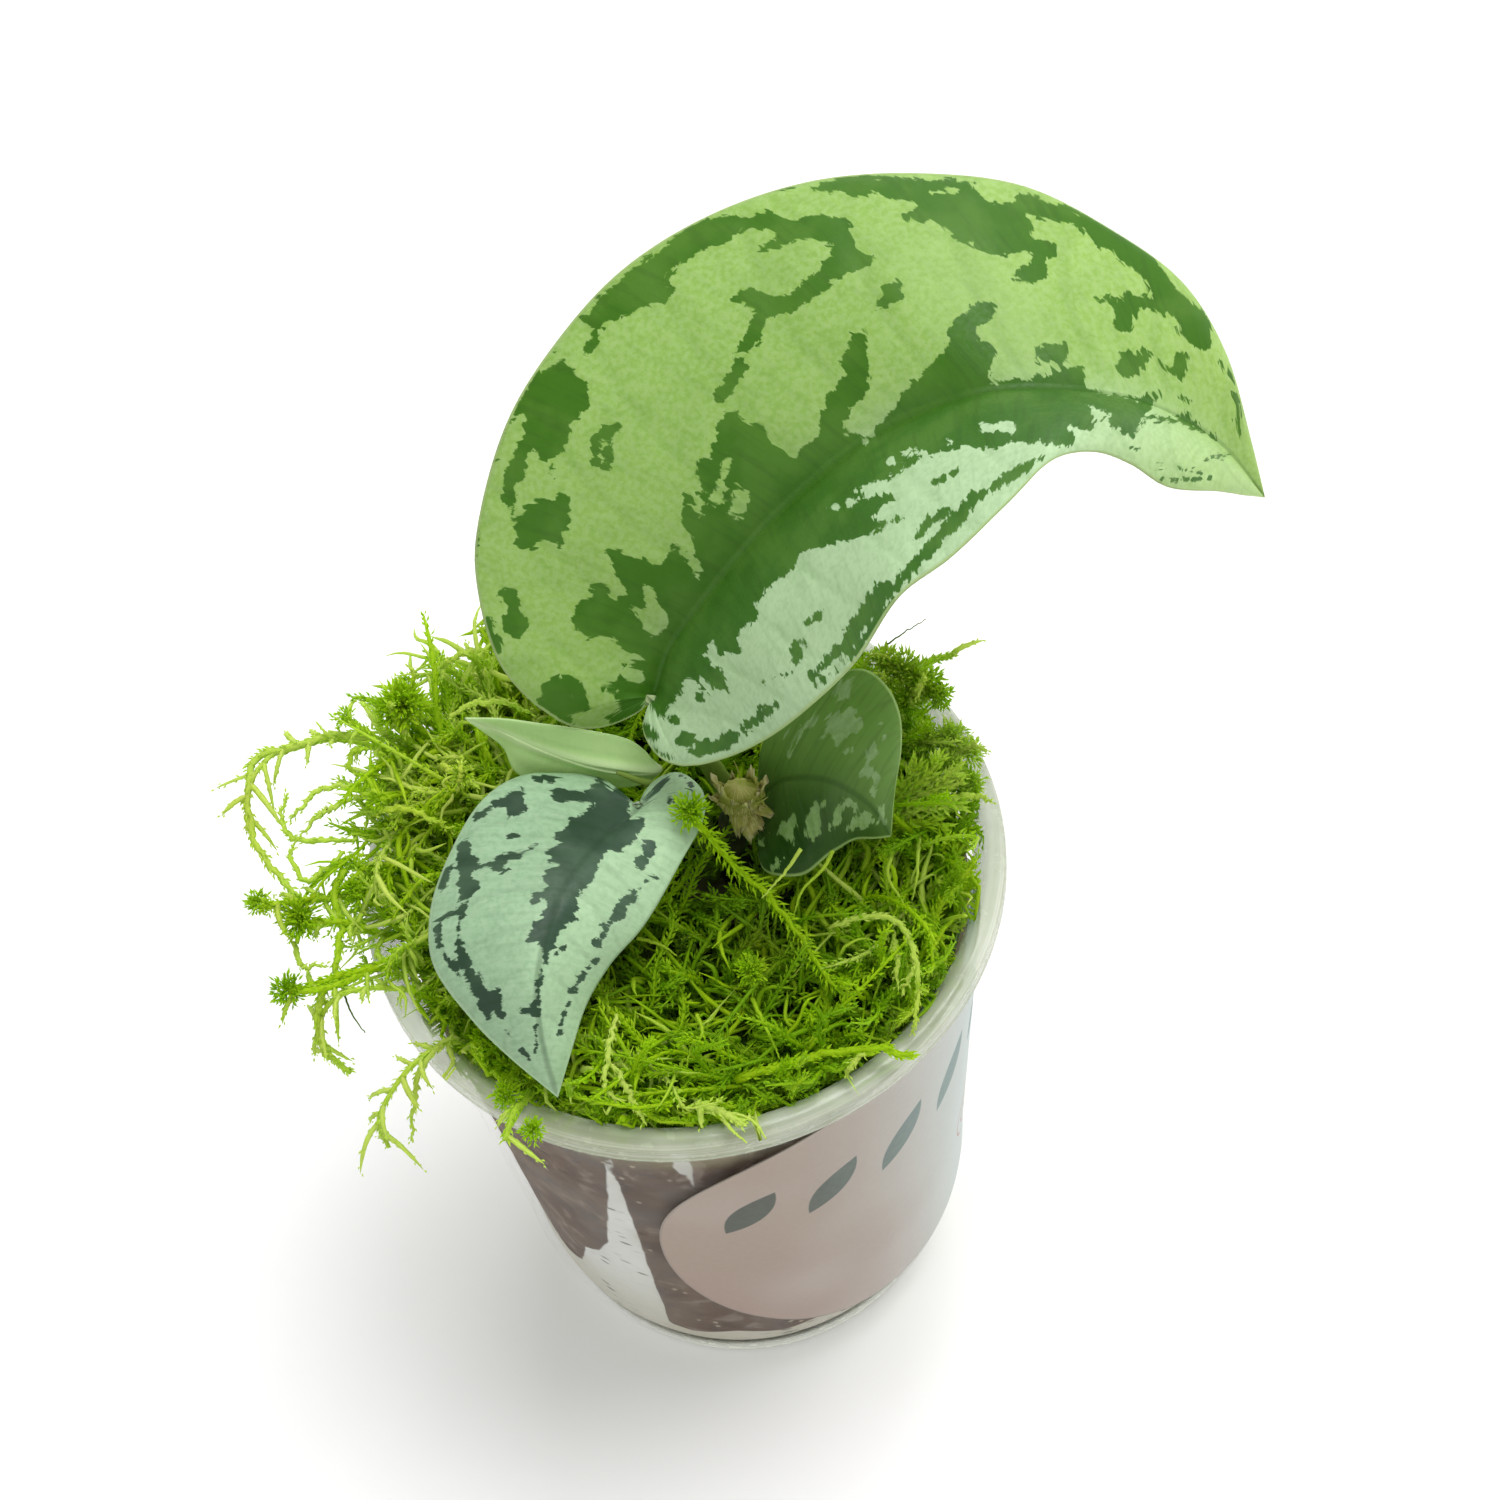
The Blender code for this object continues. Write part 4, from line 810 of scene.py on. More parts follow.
def leaf(name, node, shape, skin, rows, columns, lobe_rows, tone, markings, vein_count=11, wave=0.25):
    """Both faces of a blade over the rulings from its midrib to its margins, with its petiole."""
    shares = np.linspace(0, 1, rows)
    line = smooth_path(shape["spine"], 400)
    run = np.concatenate([[0], np.cumsum(np.linalg.norm(np.diff(line, axis=0), axis=1))])
    length = run[-1]
    run /= length
    feet = np.concatenate([np.zeros(lobe_rows), shares])
    inner = np.stack([np.interp(feet, run, line[:, k]) for k in range(3)], 1)
    lift = np.array(shape["lift"]) / np.linalg.norm(shape["lift"])
    s = (np.arange(columns + 1) / columns)[None, :, None]
    points, quads, values = [], [], {"along": [], "across": [], "rib": [], "edge": [], "vein": []}
    along = np.concatenate([np.linspace(-0.35, 0, lobe_rows, endpoint=False), shares])
    for way, side in ((1.0, "left"), (-1.0, "right")):
        outer = margin_stations(shape[side], shape["spine"], lobe_rows, shares)
        span = outer - inner
        width = np.linalg.norm(span, axis=1)
        reach = np.minimum(1.0, width / 12.0)[:, None, None]
        grid = inner[:, None] + span[:, None] * s + lift * shape["bulge"] * reach * 4 * s * (1 - s)
        rib = width[:, None] * s[..., 0]
        edge = width[:, None] * (1 - s[..., 0])
        swept = along[:, None] - 0.10 * s[..., 0] ** 2
        vein = 0.5 + 0.5 * np.cos(2 * math.pi * vein_count * swept)
        groove = -0.32 * np.exp(-((rib / 0.8) ** 2)) * np.clip(1.15 - along[:, None], 0, 1)
        pillow = -0.10 * vein**6 * np.clip(rib / 2.5, 0, 1) * np.clip(edge / 2.5, 0, 1)
        ripple = wave * np.sin(19 * along[:, None] + way) * np.clip(s[..., 0] - 0.35, 0, 1) ** 1.5
        curl = -0.22 * np.exp(-((edge / 0.7) ** 2))
        fade = np.clip(width / 4.0, 0, 1)[:, None]
        grid = grid + ((groove + pillow + ripple + curl) * fade)[..., None] * lift
        base = sum(len(p) for p in points)
        points.append(grid.reshape(-1, 3))
        i = np.arange(len(grid) - 1)[:, None] * (columns + 1) + np.arange(columns)[None]
        quad = np.stack([i, i + 1, i + columns + 2, i + columns + 1], -1).reshape(-1, 4) + base
        quads.append(quad if way > 0 else quad[:, ::-1])
        values["along"].append(np.broadcast_to(along[:, None], rib.shape).ravel())
        values["across"].append((way * rib).ravel())
        values["rib"].append(rib.ravel())
        values["edge"].append(edge.ravel())
        values["vein"].append((vein * np.clip(rib / 1.5, 0, 1)).ravel())
    points = np.concatenate(points)
    quads = np.concatenate(quads)
    values = {key: np.concatenate(parts) for key, parts in values.items()}
    _, first, index = np.unique(np.round(points, 3), axis=0, return_index=True, return_inverse=True)
    index = index.reshape(-1)
    points = points[first]
    values = {key: numbers[first] for key, numbers in values.items()}
    quads = index[quads]
    triangles = []
    whole = []
    for face in quads:
        kept = list(dict.fromkeys(face.tolist()))
        if len(kept) == 4:
            whole.append(kept)
        elif len(kept) == 3:
            triangles.append(kept)
    whole = np.array(whole)
    triangles = np.array(triangles)
    normals = np.zeros_like(points)
    for faces in (whole, triangles):
        cross = np.cross(points[faces[:, 1]] - points[faces[:, 0]], points[faces[:, 2]] - points[faces[:, 0]])
        for k in range(faces.shape[1]):
            np.add.at(normals, faces[:, k], cross)
    normals /= np.linalg.norm(normals, axis=1, keepdims=True) + 1e-12
    if (normals @ lift).sum() < 0:
        normals = -normals
        whole = whole[:, ::-1]
        triangles = triangles[:, ::-1]
    rib, edge = values["rib"], values["edge"]
    thick = 0.20 + 0.25 * np.clip(edge / 3.0, 0, 1)
    thick += 0.42 * np.exp(-((rib / 0.55) ** 2)) * np.clip(1.05 - values["along"], 0, 1)
    thick += 0.05 * values["vein"] ** 5 * np.clip(edge / 3.0, 0, 1)
    lower = points - normals * thick[:, None]
    count = len(points)
    edges = {}
    for faces in (whole, triangles):
        size = faces.shape[1]
        for face in faces.tolist():
            for k in range(size):
                a, b = face[k], face[(k + 1) % size]
                if (b, a) in edges:
                    del edges[(b, a)]
                else:
                    edges[(a, b)] = True
    rim = np.array([(a, b) for a, b in edges])
    wall = np.stack([rim[:, 1], rim[:, 0], rim[:, 0] + count, rim[:, 1] + count], -1)
    body = Bunch()
    mark = markings(in_picture(points))
    twice = {key: np.concatenate([numbers, numbers]) for key, numbers in values.items()}
    body.add(
        np.concatenate([points, lower]),
        [whole, triangles, whole[:, ::-1] + count, triangles[:, ::-1] + count, wall],
        mark=np.concatenate([mark, mark]),
        tone=np.tile(tone(in_picture(points), values), 2),
        under=np.concatenate([np.zeros(count), np.ones(count)]),
        stalk=0.0,
        **twice,
    )
    tip = [tuple(inner[lobe_rows] - 2.0 * lift)]
    for share, depth in ((0.08, 1.7), (0.2, 1.0)):
        on_spine = np.array([np.interp(share, run, line[:, k]) for k in range(3)])
        tip.append(tuple(on_spine - depth * lift))
    path = smooth_path(shape["petiole"] + tip, 60)[None]
    radii = np.linspace(1.0, 0.3, 60)[None] * shape["petiole_radius"]
    tube_points, tube_quads, caps = tubes(path, radii, 14)
    empty = {key: 5.0 for key in values}
    body.add(tube_points, [tube_quads, caps], mark=20.0, tone=0.0, under=1.0, stalk=1.0, **empty)
    made = body.make(name, skin, node)
    return made, np.concatenate([points, lower])


def large_tone(place, values):
    """1 on the half below the midrib, which a painted sheen makes paler."""
    lower = 1 / (1 + np.exp(values["across"] / 1.2))
    return np.clip(lower * 1.0, 0, 1)


leaf_tops = []
large_leaf, surface = leaf(
    "LeafLarge", "leaf_large", LARGE,
    leaf_skin("leaf_large", "#93B95A", "#B4D2A4", "#3B6E08", "#3A6A20", "#98B46C", "#B4CC88", 75.0, 5.0,
              ripe="#A4C866"),
    220, 42, 30, large_tone,
    lambda p: outside_markings(p, LARGE_PATCHES, LARGE_STROKES, LARGE_HOLES),
)
leaf_tops.append(surface)
# The front leaf's paler right half is a painted sheen where the light falls.
front_leaf, surface = leaf(
    "LeafFront", "leaf_front", FRONT,
    leaf_skin("leaf_front", "#9ABD96", "#B6D8AC", "#2A4430", "#385240", "#94B28C", "#B8D8AC", 36.0, 4.5),
    130, 30, 22, lambda place, values: 1 / (1 + np.exp(values["across"] / 1.5)),
    lambda p: outside_markings(p, FRONT_PATCHES, FRONT_STROKES), 8, 0.15,
)
leaf_tops.append(surface)
# The right leaf's paler left half, in its far colours, is a painted sheen where the light falls.
right_leaf, surface = leaf(
    "LeafRight", "leaf_right", RIGHT,
    leaf_skin("leaf_right", "#86AC60", "#98BA7C", "#1C4400", "#76A04A", "#7C9A58", "#ACCC78", 20.0, 5.0),
    110, 28, 20, lambda place, values: 1 / (1 + np.exp(-values["across"] / 2.0)),
    lambda p: -outside_markings(p, RIGHT_PATCHES, RIGHT_STROKES), 8, 0.1,
)
leaf_tops.append(surface)
pale_leaf, surface = leaf(
    "LeafPale", "leaf_pale", PALE,
    leaf_skin("leaf_pale", "#BCE094", "#B0D488", "#A0C880", "#A0C880", "#C0E298", "#D8F0B0", 20.0, 3.0, glow=0.3),
    80, 20, 16, lambda place, values: np.clip(values["along"], 0, 1),
    lambda p: np.full(len(p), 25.0), 0, 0.05,
)
leaf_tops.append(surface)
leaf_tops = np.concatenate(leaf_tops)


# Height of the lowest leaf over each half millimetre of the ground, for the moss to stay under
CELL = 0.5
ROOF_SPAN = 60.0
roof_cells = int(2 * ROOF_SPAN / CELL)
ROOF = np.full((roof_cells, roof_cells), 1e3)
cell_x = np.clip(((leaf_tops[:, 0] + ROOF_SPAN) / CELL).astype(int), 0, roof_cells - 1)
cell_y = np.clip(((leaf_tops[:, 1] + ROOF_SPAN) / CELL).astype(int), 0, roof_cells - 1)
np.minimum.at(ROOF, (cell_x, cell_y), leaf_tops[:, 2])
for _ in range(2):
    grown = ROOF.copy()
    for dx, dy in ((1, 0), (-1, 0), (0, 1), (0, -1)):
        grown = np.minimum(grown, np.roll(ROOF, (dx, dy), (0, 1)))
    ROOF = grown


def settle(points, inside=26.9, spare=0.7, over_rim=False):
    """Keeps moss inside the wall below the rim and under the leaves, and off the rim in front."""
    p = points.copy()
    far = np.maximum(np.hypot(p[..., 0], p[..., 1]), 1e-6)
    inside = inside + 0.9 * np.clip((p[..., 2] - 65.0) / 1.4, 0, 1)
    beside = np.where(far < 29.2, inside, RIM_RADIUS + 0.7)
    squeeze = np.where((p[..., 2] < 68.3) & (far > inside) & (far < RIM_RADIUS + 0.7), beside / far, 1.0)
    if not over_rim:
        bearing = np.degrees(np.arctan2(p[..., 1], p[..., 0]))
        free = (bearing > 80) | (bearing < -172)
        squeeze = np.where(~free & (far > 28.9), np.minimum(squeeze, 28.9 / far), squeeze)
    p[..., 0] *= squeeze
    p[..., 1] *= squeeze
    i = np.clip(((p[..., 0] + ROOF_SPAN) / CELL).astype(int), 0, roof_cells - 1)
    j = np.clip(((p[..., 1] + ROOF_SPAN) / CELL).astype(int), 0, roof_cells - 1)
    p[..., 2] = np.minimum(p[..., 2], ROOF[i, j] - spare)
    return p


def moss_height(x, y):
    away = np.hypot(x - MOUND_AT[0], y - MOUND_AT[1]) / MOUND_REACH
    return MOSS_TOP + MOUND_RISE * np.exp(-away * away)


# Cup


def cup_skin():
    s = Skin("clear_plastic")
    z = s.axis(2)
    rim = s.between(z, 0.0634, 0.0645)
    foot = s.between(z, 0.0026, 0.0033, 1.0, 0.0)
    cloud = s.noise(90.0, 3.0)
    flow = s.vector(s.maths("MULTIPLY", s.axis(0), 700.0), s.maths("MULTIPLY", s.axis(1), 700.0),
                    s.maths("MULTIPLY", z, 1400.0))
    scratch = s.noise(1.0, 3.0, flow)
    colour = s.blend(rim, "#DADAD4", "#A6B08E")
    colour = s.blend(foot, colour, "#F4F6EA")
    colour = s.blend(s.between(cloud, 0.35, 0.7, 0.0, 0.5), colour, "#E4E8DE")
    # Pale lines along the rim are painted highlights.
    rim_highlight_lines = s.noise(1.0, 2.0, s.vector(0.0, 0.0, s.maths("MULTIPLY", z, 2600.0)))
    colour = s.blend(s.maths("MULTIPLY", rim, s.between(rim_highlight_lines, 0.45, 0.6, 0.0, 0.35)), colour, "#E8ECDC")
    s.feed(s.shader.inputs["Base Color"], colour)
    haze = s.maths("ADD", s.between(cloud, 0.3, 0.75, 0.01, 0.07), s.maths("MULTIPLY", rim, 0.50))
    haze = s.maths("ADD", haze, s.maths("MULTIPLY", foot, 0.92))
    haze = s.maths("ADD", haze, s.between(z, 0.0560, 0.0640, 0.0, 0.14))
    haze = s.maths("ADD", haze, s.between(scratch, 0.55, 0.75, 0.0, 0.06))
    s.feed(s.shader.inputs["Alpha"], haze)
    s.feed(s.shader.inputs["Roughness"], s.between(scratch, 0.3, 0.7, 0.12, 0.30))
    s.shader.inputs["IOR"].default_value = 1.49
    s.bump(scratch, 0.04, 0.0001)
    return s.material


def make_cup():
    heights = [z for z in np.linspace(FOOT_HEIGHT, SHOULDER_HEIGHT, 14)] + list(np.linspace(17.0, 62.0, 16))
    outer = [(wall_radius(z), z) for z in heights]
    neck = wall_radius(63.2)
    lip = rounded([
        (neck, 63.2), (RIM_RADIUS - 0.5, 63.8), (RIM_RADIUS, 64.6), (RIM_RADIUS - 0.1, 65.9),
        (RIM_RADIUS, RIM_TOP - 0.7), (RIM_RADIUS - 0.9, RIM_TOP), (NECK_RADIUS + 0.6, RIM_TOP),
        (NECK_RADIUS - 0.2, RIM_TOP - 0.8), (NECK_RADIUS - 0.7, NECK_HEIGHT + 0.6), (NECK_RADIUS - 0.9, 62.0),
    ], 0.5)
    inner = [(wall_radius(z) - WALL, z) for z in list(np.linspace(60.0, 17.0, 14)) + [15, 12, 10, 8, 7, 6, 5, 4.6]]
    base = rounded([
        (0, 0.9), (FOOT_RADIUS - 3.4, 0.7), (FOOT_RADIUS - 2.2, 0.0), (FOOT_RADIUS, 0.0),
        (FOOT_RADIUS, FOOT_HEIGHT),
    ], 0.5)
    floor_line = [(FOOT_RADIUS - 1.0, FLOOR + 0.7), (FOOT_RADIUS - 1.8, FLOOR + 0.2), (0, FLOOR + 0.2)]
    profile = list(map(tuple, base[:-1])) + outer + list(map(tuple, lip)) + inner + floor_line
    points, faces = lathe(profile, 160)
    piece("Cup", points, faces, cup_skin(), "cup")


make_cup()


# Potting mix, seen through the wall, with pale wedges in (degrees, height) painted on it as reflection in the wall
GLARE_WEDGES = [
    [(-28.0, 58.6), (-30.5, 13.3), (-29.5, 3.0), (-78.0, 3.0), (-66.0, 13.0), (-56.0, 14.2), (-50.0, 22.0),
     (-43.5, 24.7), (-39.0, 30.0), (-33.0, 44.0)],
    [(-13.2, 61.1), (-14.8, 55.0), (-11.8, 50.0), (-11.0, 55.0)],
]
CLEAR_FOOT = [(-220, 1), (-220, 15), (-180, 18), (-120, 21), (-90, 19), (-66, 14), (-30, 9), (-24, 8.0), (-12, 9.2), (0, 7.6),
              (14, 9.0), (40, 7.4), (120, 8), (180, 18), (220, 20), (220, 1)]


def mix_skin():
    s = Skin("coir_mix")
    pale = s.attribute("pale")
    green = s.attribute("green")
    grain = s.noise(330.0, 3.0, distortion=0.6)
    broad = s.noise(70.0, 3.0)
    colour = s.blend(s.between(broad, 0.35, 0.68), "#523C2C", "#66523F")
    colour = s.blend(s.between(grain, 0.48, 0.66, 0.0, 0.55), colour, "#3C2E27")
    colour = s.blend(s.between(grain, 0.30, 0.44, 0.45, 0.0), colour, "#8F8076")
    flat = s.node("VectorMath", operation="MULTIPLY")
    s.feed(flat.inputs[0], s.object_place())
    flat.inputs[1].default_value = (1.0, 1.0, 2.6)
    flat = flat.outputs[0]
    fleck = s.between(s.cells(300.0, flat), 0.14, 0.26, 1.0, 0.0)
    fleck = s.maths("MULTIPLY", fleck, s.between(s.noise(150.0, 2.0), 0.46, 0.56))
    colour = s.blend(s.maths("MULTIPLY", fleck, 0.75), colour, "#241A16")
    crumb = s.between(s.cells(520.0), 0.10, 0.20, 1.0, 0.0)
    crumb = s.maths("MULTIPLY", crumb, s.between(s.noise(210.0, 2.0), 0.54, 0.60))
    colour = s.blend(s.maths("MULTIPLY", crumb, 0.6), colour, "#B4A894")
    colour = s.blend(s.maths("MULTIPLY", green, s.between(grain, 0.2, 0.7, 0.9, 0.55)), colour, "#8E8C62")
    # Inside the wedges the mix is painted pale as reflection in the wall, and pale where the clear foot shows.
    ragged = s.maths("ADD", pale, s.maths("MULTIPLY", s.maths("SUBTRACT", s.noise(260.0, 3.0), 0.5), 0.8))
    glare_and_clear_foot = s.between(ragged, -0.15, 0.15, 1.0, 0.0)
    glare_mottle = s.noise(95.0, 2.0)
    light = s.blend(s.between(glare_mottle, 0.30, 0.66), "#B6B4AA", "#D0D2CC")
    low = s.between(s.axis(2), 0.006, 0.024, 1.0, 0.0)
    light = s.blend(s.maths("MULTIPLY", low, 0.6), light, "#B2AC94")
    bits = s.between(s.cells(360.0, flat), 0.16, 0.30, 1.0, 0.0)
    bits = s.maths("MULTIPLY", bits, s.between(s.noise(140.0, 2.0), 0.46, 0.56))
    light = s.blend(s.maths("MULTIPLY", bits, 0.85), light, "#4E463E")
    colour = s.blend(glare_and_clear_foot, colour, light)
    s.feed(s.shader.inputs["Base Color"], colour)
    s.shader.inputs["Roughness"].default_value = 0.8
    s.bump(broad, 0.15, 0.0002)
    return s.material


def make_mix():
    rng = np.random.default_rng(3)
    heights = list(np.linspace(2.1, 15.0, 13)) + list(np.linspace(16.5, SUBSTRATE_TOP, 34))
    side = [(wall_radius(z) - WALL - 0.12, z) for z in heights]
    top = [(r, SUBSTRATE_TOP + 0.3) for r in (24.0, 19.0, 14.0, 9.0, 4.0)]
    lower = [(0, FLOOR + GAP + 0.2), (10.0, FLOOR + GAP + 0.2), (FOOT_RADIUS - 1.5, FLOOR + GAP + 0.3)]
    points, faces = lathe(lower + side + top + [(0, SUBSTRATE_TOP + 0.3)], 180)
    far = np.hypot(points[:, 0], points[:, 1])
    out = points[:, :2] / np.maximum(far, 1e-6)[:, None]
    turn = np.arctan2(points[:, 0], -points[:, 1])
    swell = np.sin(7 * turn + 0.35 * points[:, 2]) * np.sin(0.5 * points[:, 2] + 2 * np.sin(4 * turn))
    points[:, :2] += out * (0.04 * (swell - 1) * (far > 3))[:, None]
    on_top = points[:, 2] > SUBSTRATE_TOP + 0.1
    points[on_top, 2] += rng.uniform(-0.5, 0.25, on_top.sum())
    angle = np.degrees(turn)
    flat = np.stack([angle * 0.46, points[:, 2]], 1)
    pale = np.full(len(points), 9.0)
    for outline in GLARE_WEDGES + [CLEAR_FOOT]:
        pale = np.minimum(pale, outside_patch(flat, [(a * 0.46, z) for a, z in outline]))
    green = np.clip((points[:, 2] - (SUBSTRATE_TOP - 7.0)) / 5.0, 0, 1)
    values = {"pale": np.clip(pale, -6, 9), "green": green}
    piece("PottingMix", points, faces, mix_skin(), "substrate", values)


make_mix()


# Label


def label_skin():
    s = Skin("label_paper")
    u = s.attribute("round")
    v = s.attribute("rise")
    drift = s.noise(35.0, 2.0)
    # Paper darker and warmer to the left and low on the left, bluish white to the right: painted shade and light across
    # the label.
    colour = s.blend(s.between(u, -20.0, 24.0), "#BAA696", "#E6F8F6")
    colour = s.blend(s.maths("MULTIPLY", s.between(v, 6.0, -20.0), s.between(u, 8.0, -20.0)), colour, "#B8A092")
    colour = s.blend(s.between(drift, 0.4, 0.7, 0.0, 0.3), colour, "#EAEAE6")
    step = s.maths("SUBTRACT", s.maths("FRACT", s.maths("DIVIDE", s.maths("ADD", u, 100.0), 8.4)), 0.5)
    x = s.maths("MULTIPLY", step, 8.4)
    y = s.maths("SUBTRACT", v, 9.5)
    along = s.maths("ADD", s.maths("MULTIPLY", x, 0.55), s.maths("MULTIPLY", y, 0.83))
    over = s.maths("SUBTRACT", s.maths("MULTIPLY", x, 0.83), s.maths("MULTIPLY", y, 0.55))
    long_way = s.maths("POWER", s.maths("DIVIDE", along, 4.9), 2.0)
    short_way = s.maths("ABSOLUTE", s.maths("DIVIDE", over, 1.9))
    blade = s.between(s.maths("ADD", long_way, short_way), 0.94, 1.04, 1.0, 0.0)
    here = s.maths("MULTIPLY", s.between(u, -24.5, -24.3), s.between(u, 17.5, 17.7, 1.0, 0.0))
    # The print is darker towards the left by the same painted shade.
    ink = s.blend(s.between(u, -18.0, 12.0), "#525A4C", "#8CA8A4")
    colour = s.blend(s.maths("MULTIPLY", blade, here), colour, ink)
    ring_x = s.maths("SUBTRACT", u, 15.0)
    ring_y = s.maths("ADD", v, 12.0)
    ring = s.maths("SQRT", s.maths("ADD", s.maths("POWER", ring_x, 2.0), s.maths("POWER", ring_y, 2.0)))
    for radius in (2.2, 4.0, 5.6):
        gap = s.maths("ABSOLUTE", s.maths("SUBTRACT", ring, radius))
        colour = s.blend(s.between(gap, 0.10, 0.22, 0.85, 0.0), colour, "#C89C90")
    # Darker along the outline: the paper's cut edge and painted shade where the label meets the wall.
    colour = s.blend(s.between(s.attribute("edge"), 0.10, 0.30, 0.55, 0.0), colour, "#8E8880")
    s.feed(s.shader.inputs["Base Color"], colour)
    fibre = s.noise(1500.0, 3.0)
    s.feed(s.shader.inputs["Roughness"], s.between(fibre, 0.3, 0.7, 0.34, 0.46))
    share = s.between(s.attribute("inner"), 0.4, 0.6, 0.28, 1.0)
    s.see_through(s.blend(0.3, colour, "#FFFFFF"), share, s.bump(fibre, 0.12, 0.0001))
    return s.material


def make_label():
    """An oval sticker of rounded outline, laid on the wall, with a thin edge."""
    columns, rows = 130, 40
    t = -np.cos(math.pi * np.arange(columns + 1) / columns)
    tall = np.maximum(0.0, 1 - np.abs(t) ** LABEL_ROUNDNESS) ** (1 / LABEL_ROUNDNESS)
    tall = np.maximum(tall, 0.002)
    v = np.sin(np.linspace(-1, 1, rows + 1) * math.pi / 2)
    angle = np.radians(LABEL_MIDDLE_DEG + LABEL_HALF_DEG * t)[:, None] + 0 * v[None]
    z = LABEL_MIDDLE_Z + LABEL_HALF_Z * tall[:, None] * v[None]
    r = np.vectorize(wall_radius)(z)
    layers = []
    for off in (0.22, 0.05):
        layers.append(np.stack([(r + off) * np.sin(angle), -(r + off) * np.cos(angle), z], -1).reshape(-1, 3))
    count = len(layers[0])
    i = np.arange(columns)[:, None] * (rows + 1) + np.arange(rows)[None]
    front = np.stack([i, i + rows + 1, i + rows + 2, i + 1], -1).reshape(-1, 4)
    loop = list(range(rows + 1)) + [(k + 1) * (rows + 1) + rows for k in range(columns)]
    loop += [columns * (rows + 1) + rows - 1 - k for k in range(rows)]
    loop += [(columns - 1 - k) * (rows + 1) for k in range(columns - 1)]
    loop = np.array(loop)
    after = np.roll(loop, -1)
    wall = np.stack([loop, after, after + count, loop + count], -1)
    around = (26.5 * np.radians(LABEL_HALF_DEG) * t)[:, None] + 0 * v[None]
    rise = z - LABEL_MIDDLE_Z
    outline = np.stack([around[:, -1], rise[:, -1]], 1)
    outline = np.concatenate([outline, np.stack([around[::-1, 0], rise[::-1, 0]], 1)])
    flat = np.stack([around.ravel(), rise.ravel()], 1)
    none = np.zeros(len(outline))
    edge = distance_to_segments(flat, outline, np.roll(outline, -1, axis=0), none, none)
    values = {"round": np.tile(around.ravel(), 2), "rise": np.tile(rise.ravel(), 2), "edge": np.tile(edge, 2),
              "inner": np.repeat([0.0, 1.0], count)}
    points = np.concatenate(layers)
    piece("Label", points, [front, front[:, ::-1] + count, wall], label_skin(), "label", values)


make_label()


# Moss


def moss_skin():
    s = Skin("live_moss")
    tint = s.attribute("tint")
    tip = s.attribute("tip")
    grain = s.noise(1400.0, 3.0)
    drift = s.noise(110.0, 2.0)
    # Low tints, deep green, are painted shade for the bed and the lower shoots.
    leafy = s.blend(s.between(tint, 0.05, 0.42), "#264C00", "#80B206")
    leafy = s.blend(s.between(tint, 0.40, 0.72), leafy, "#B8DA12")
    leafy = s.blend(s.between(tint, 0.72, 1.10), leafy, "#E2EE7C")
    leafy = s.blend(s.between(drift, 0.48, 0.72, 0.0, 0.45), leafy, s.blend(0.45, leafy, "#C8BC38"))
    leafy = s.blend(s.maths("MULTIPLY", tip, 0.5), leafy, s.blend(0.5, leafy, "#C8EC4A"))
    leafy = s.blend(s.between(grain, 0.45, 0.8, 0.0, 0.3), leafy, s.blend(0.5, leafy, "#3C5C04"))
    leafy = s.blend(s.between(tint, -0.06, 0.04, 1.0, 0.0), leafy, "#3A342C")
    s.feed(s.shader.inputs["Base Color"], leafy)
    s.shader.inputs["Roughness"].default_value = 0.5
    s.shader.inputs["Specular IOR Level"].default_value = 0.12
    s.bump(grain, 0.3, 0.0001)
    s.see_through(s.blend(0.6, leafy, "#CCF21C"), 0.45)
    return s.material


MOSS_SKIN = moss_skin()


def unit(v):
    return v / (np.linalg.norm(v, axis=-1, keepdims=True) + 1e-9)


def arcs(root, way, length, bend, count, sway=None):
    """Curved paths from roots, each along its own way, bent by a sideways vector and swaying."""
    t = np.linspace(0, 1, count)[None, :, None]
    length = np.asarray(length)[:, None, None]
    paths = root[:, None] + way[:, None] * length * t + bend[:, None] * length * t * t
    if sway is not None:
        paths = paths + sway[:, None] * np.sin(2.2 * math.pi * t + 3 * root[:, None, :1]) * t
    return paths


def lenses(base, tip, fat, belly):
    """Leaflets pointed at both ends, three sided: points and triangles."""
    reach = tip - base
    along = unit(reach)
    reference = np.where(np.abs(along[:, 2:3]) < 0.8, [[0.0, 0.0, 1.0]], [[1.0, 0.0, 0.0]])
    side = unit(np.cross(along, reference))
    third = np.cross(along, side)
    middle = base + 0.42 * reach + belly
    ring = [middle + fat[:, None] * (math.cos(a) * side + math.sin(a) * third) for a in (0.0, 2.094, 4.189)]
    points = np.stack([base, *ring, tip], 1)
    pattern = np.array([[0, 2, 1], [0, 3, 2], [0, 1, 3], [4, 1, 2], [4, 2, 3], [4, 3, 1]])
    triangles = (5 * np.arange(len(base))[:, None, None] + pattern[None]).reshape(-1, 3)
    return points.reshape(-1, 3), triangles


def grow(bunch, paths, radii, sides, tint):
    """Adds tubes with a tint for each path and a tip value that rises along it."""
    points, quads, caps = tubes(paths, radii, sides)
    count, rings, _ = paths.shape
    tip = np.repeat(np.tile(np.linspace(0, 0.6, rings), count), sides)
    bunch.add(points, [quads, caps], tint=np.repeat(np.broadcast_to(tint, count), rings * sides), tip=tip)


def clear_of_rim(paths):
    """Which of the paths keep out of the solid rim."""
    far = np.hypot(paths[..., 0], paths[..., 1])
    return ~((paths[..., 2] < 67.8) & (far > 28.3) & (far < 31.4)).any(-1)


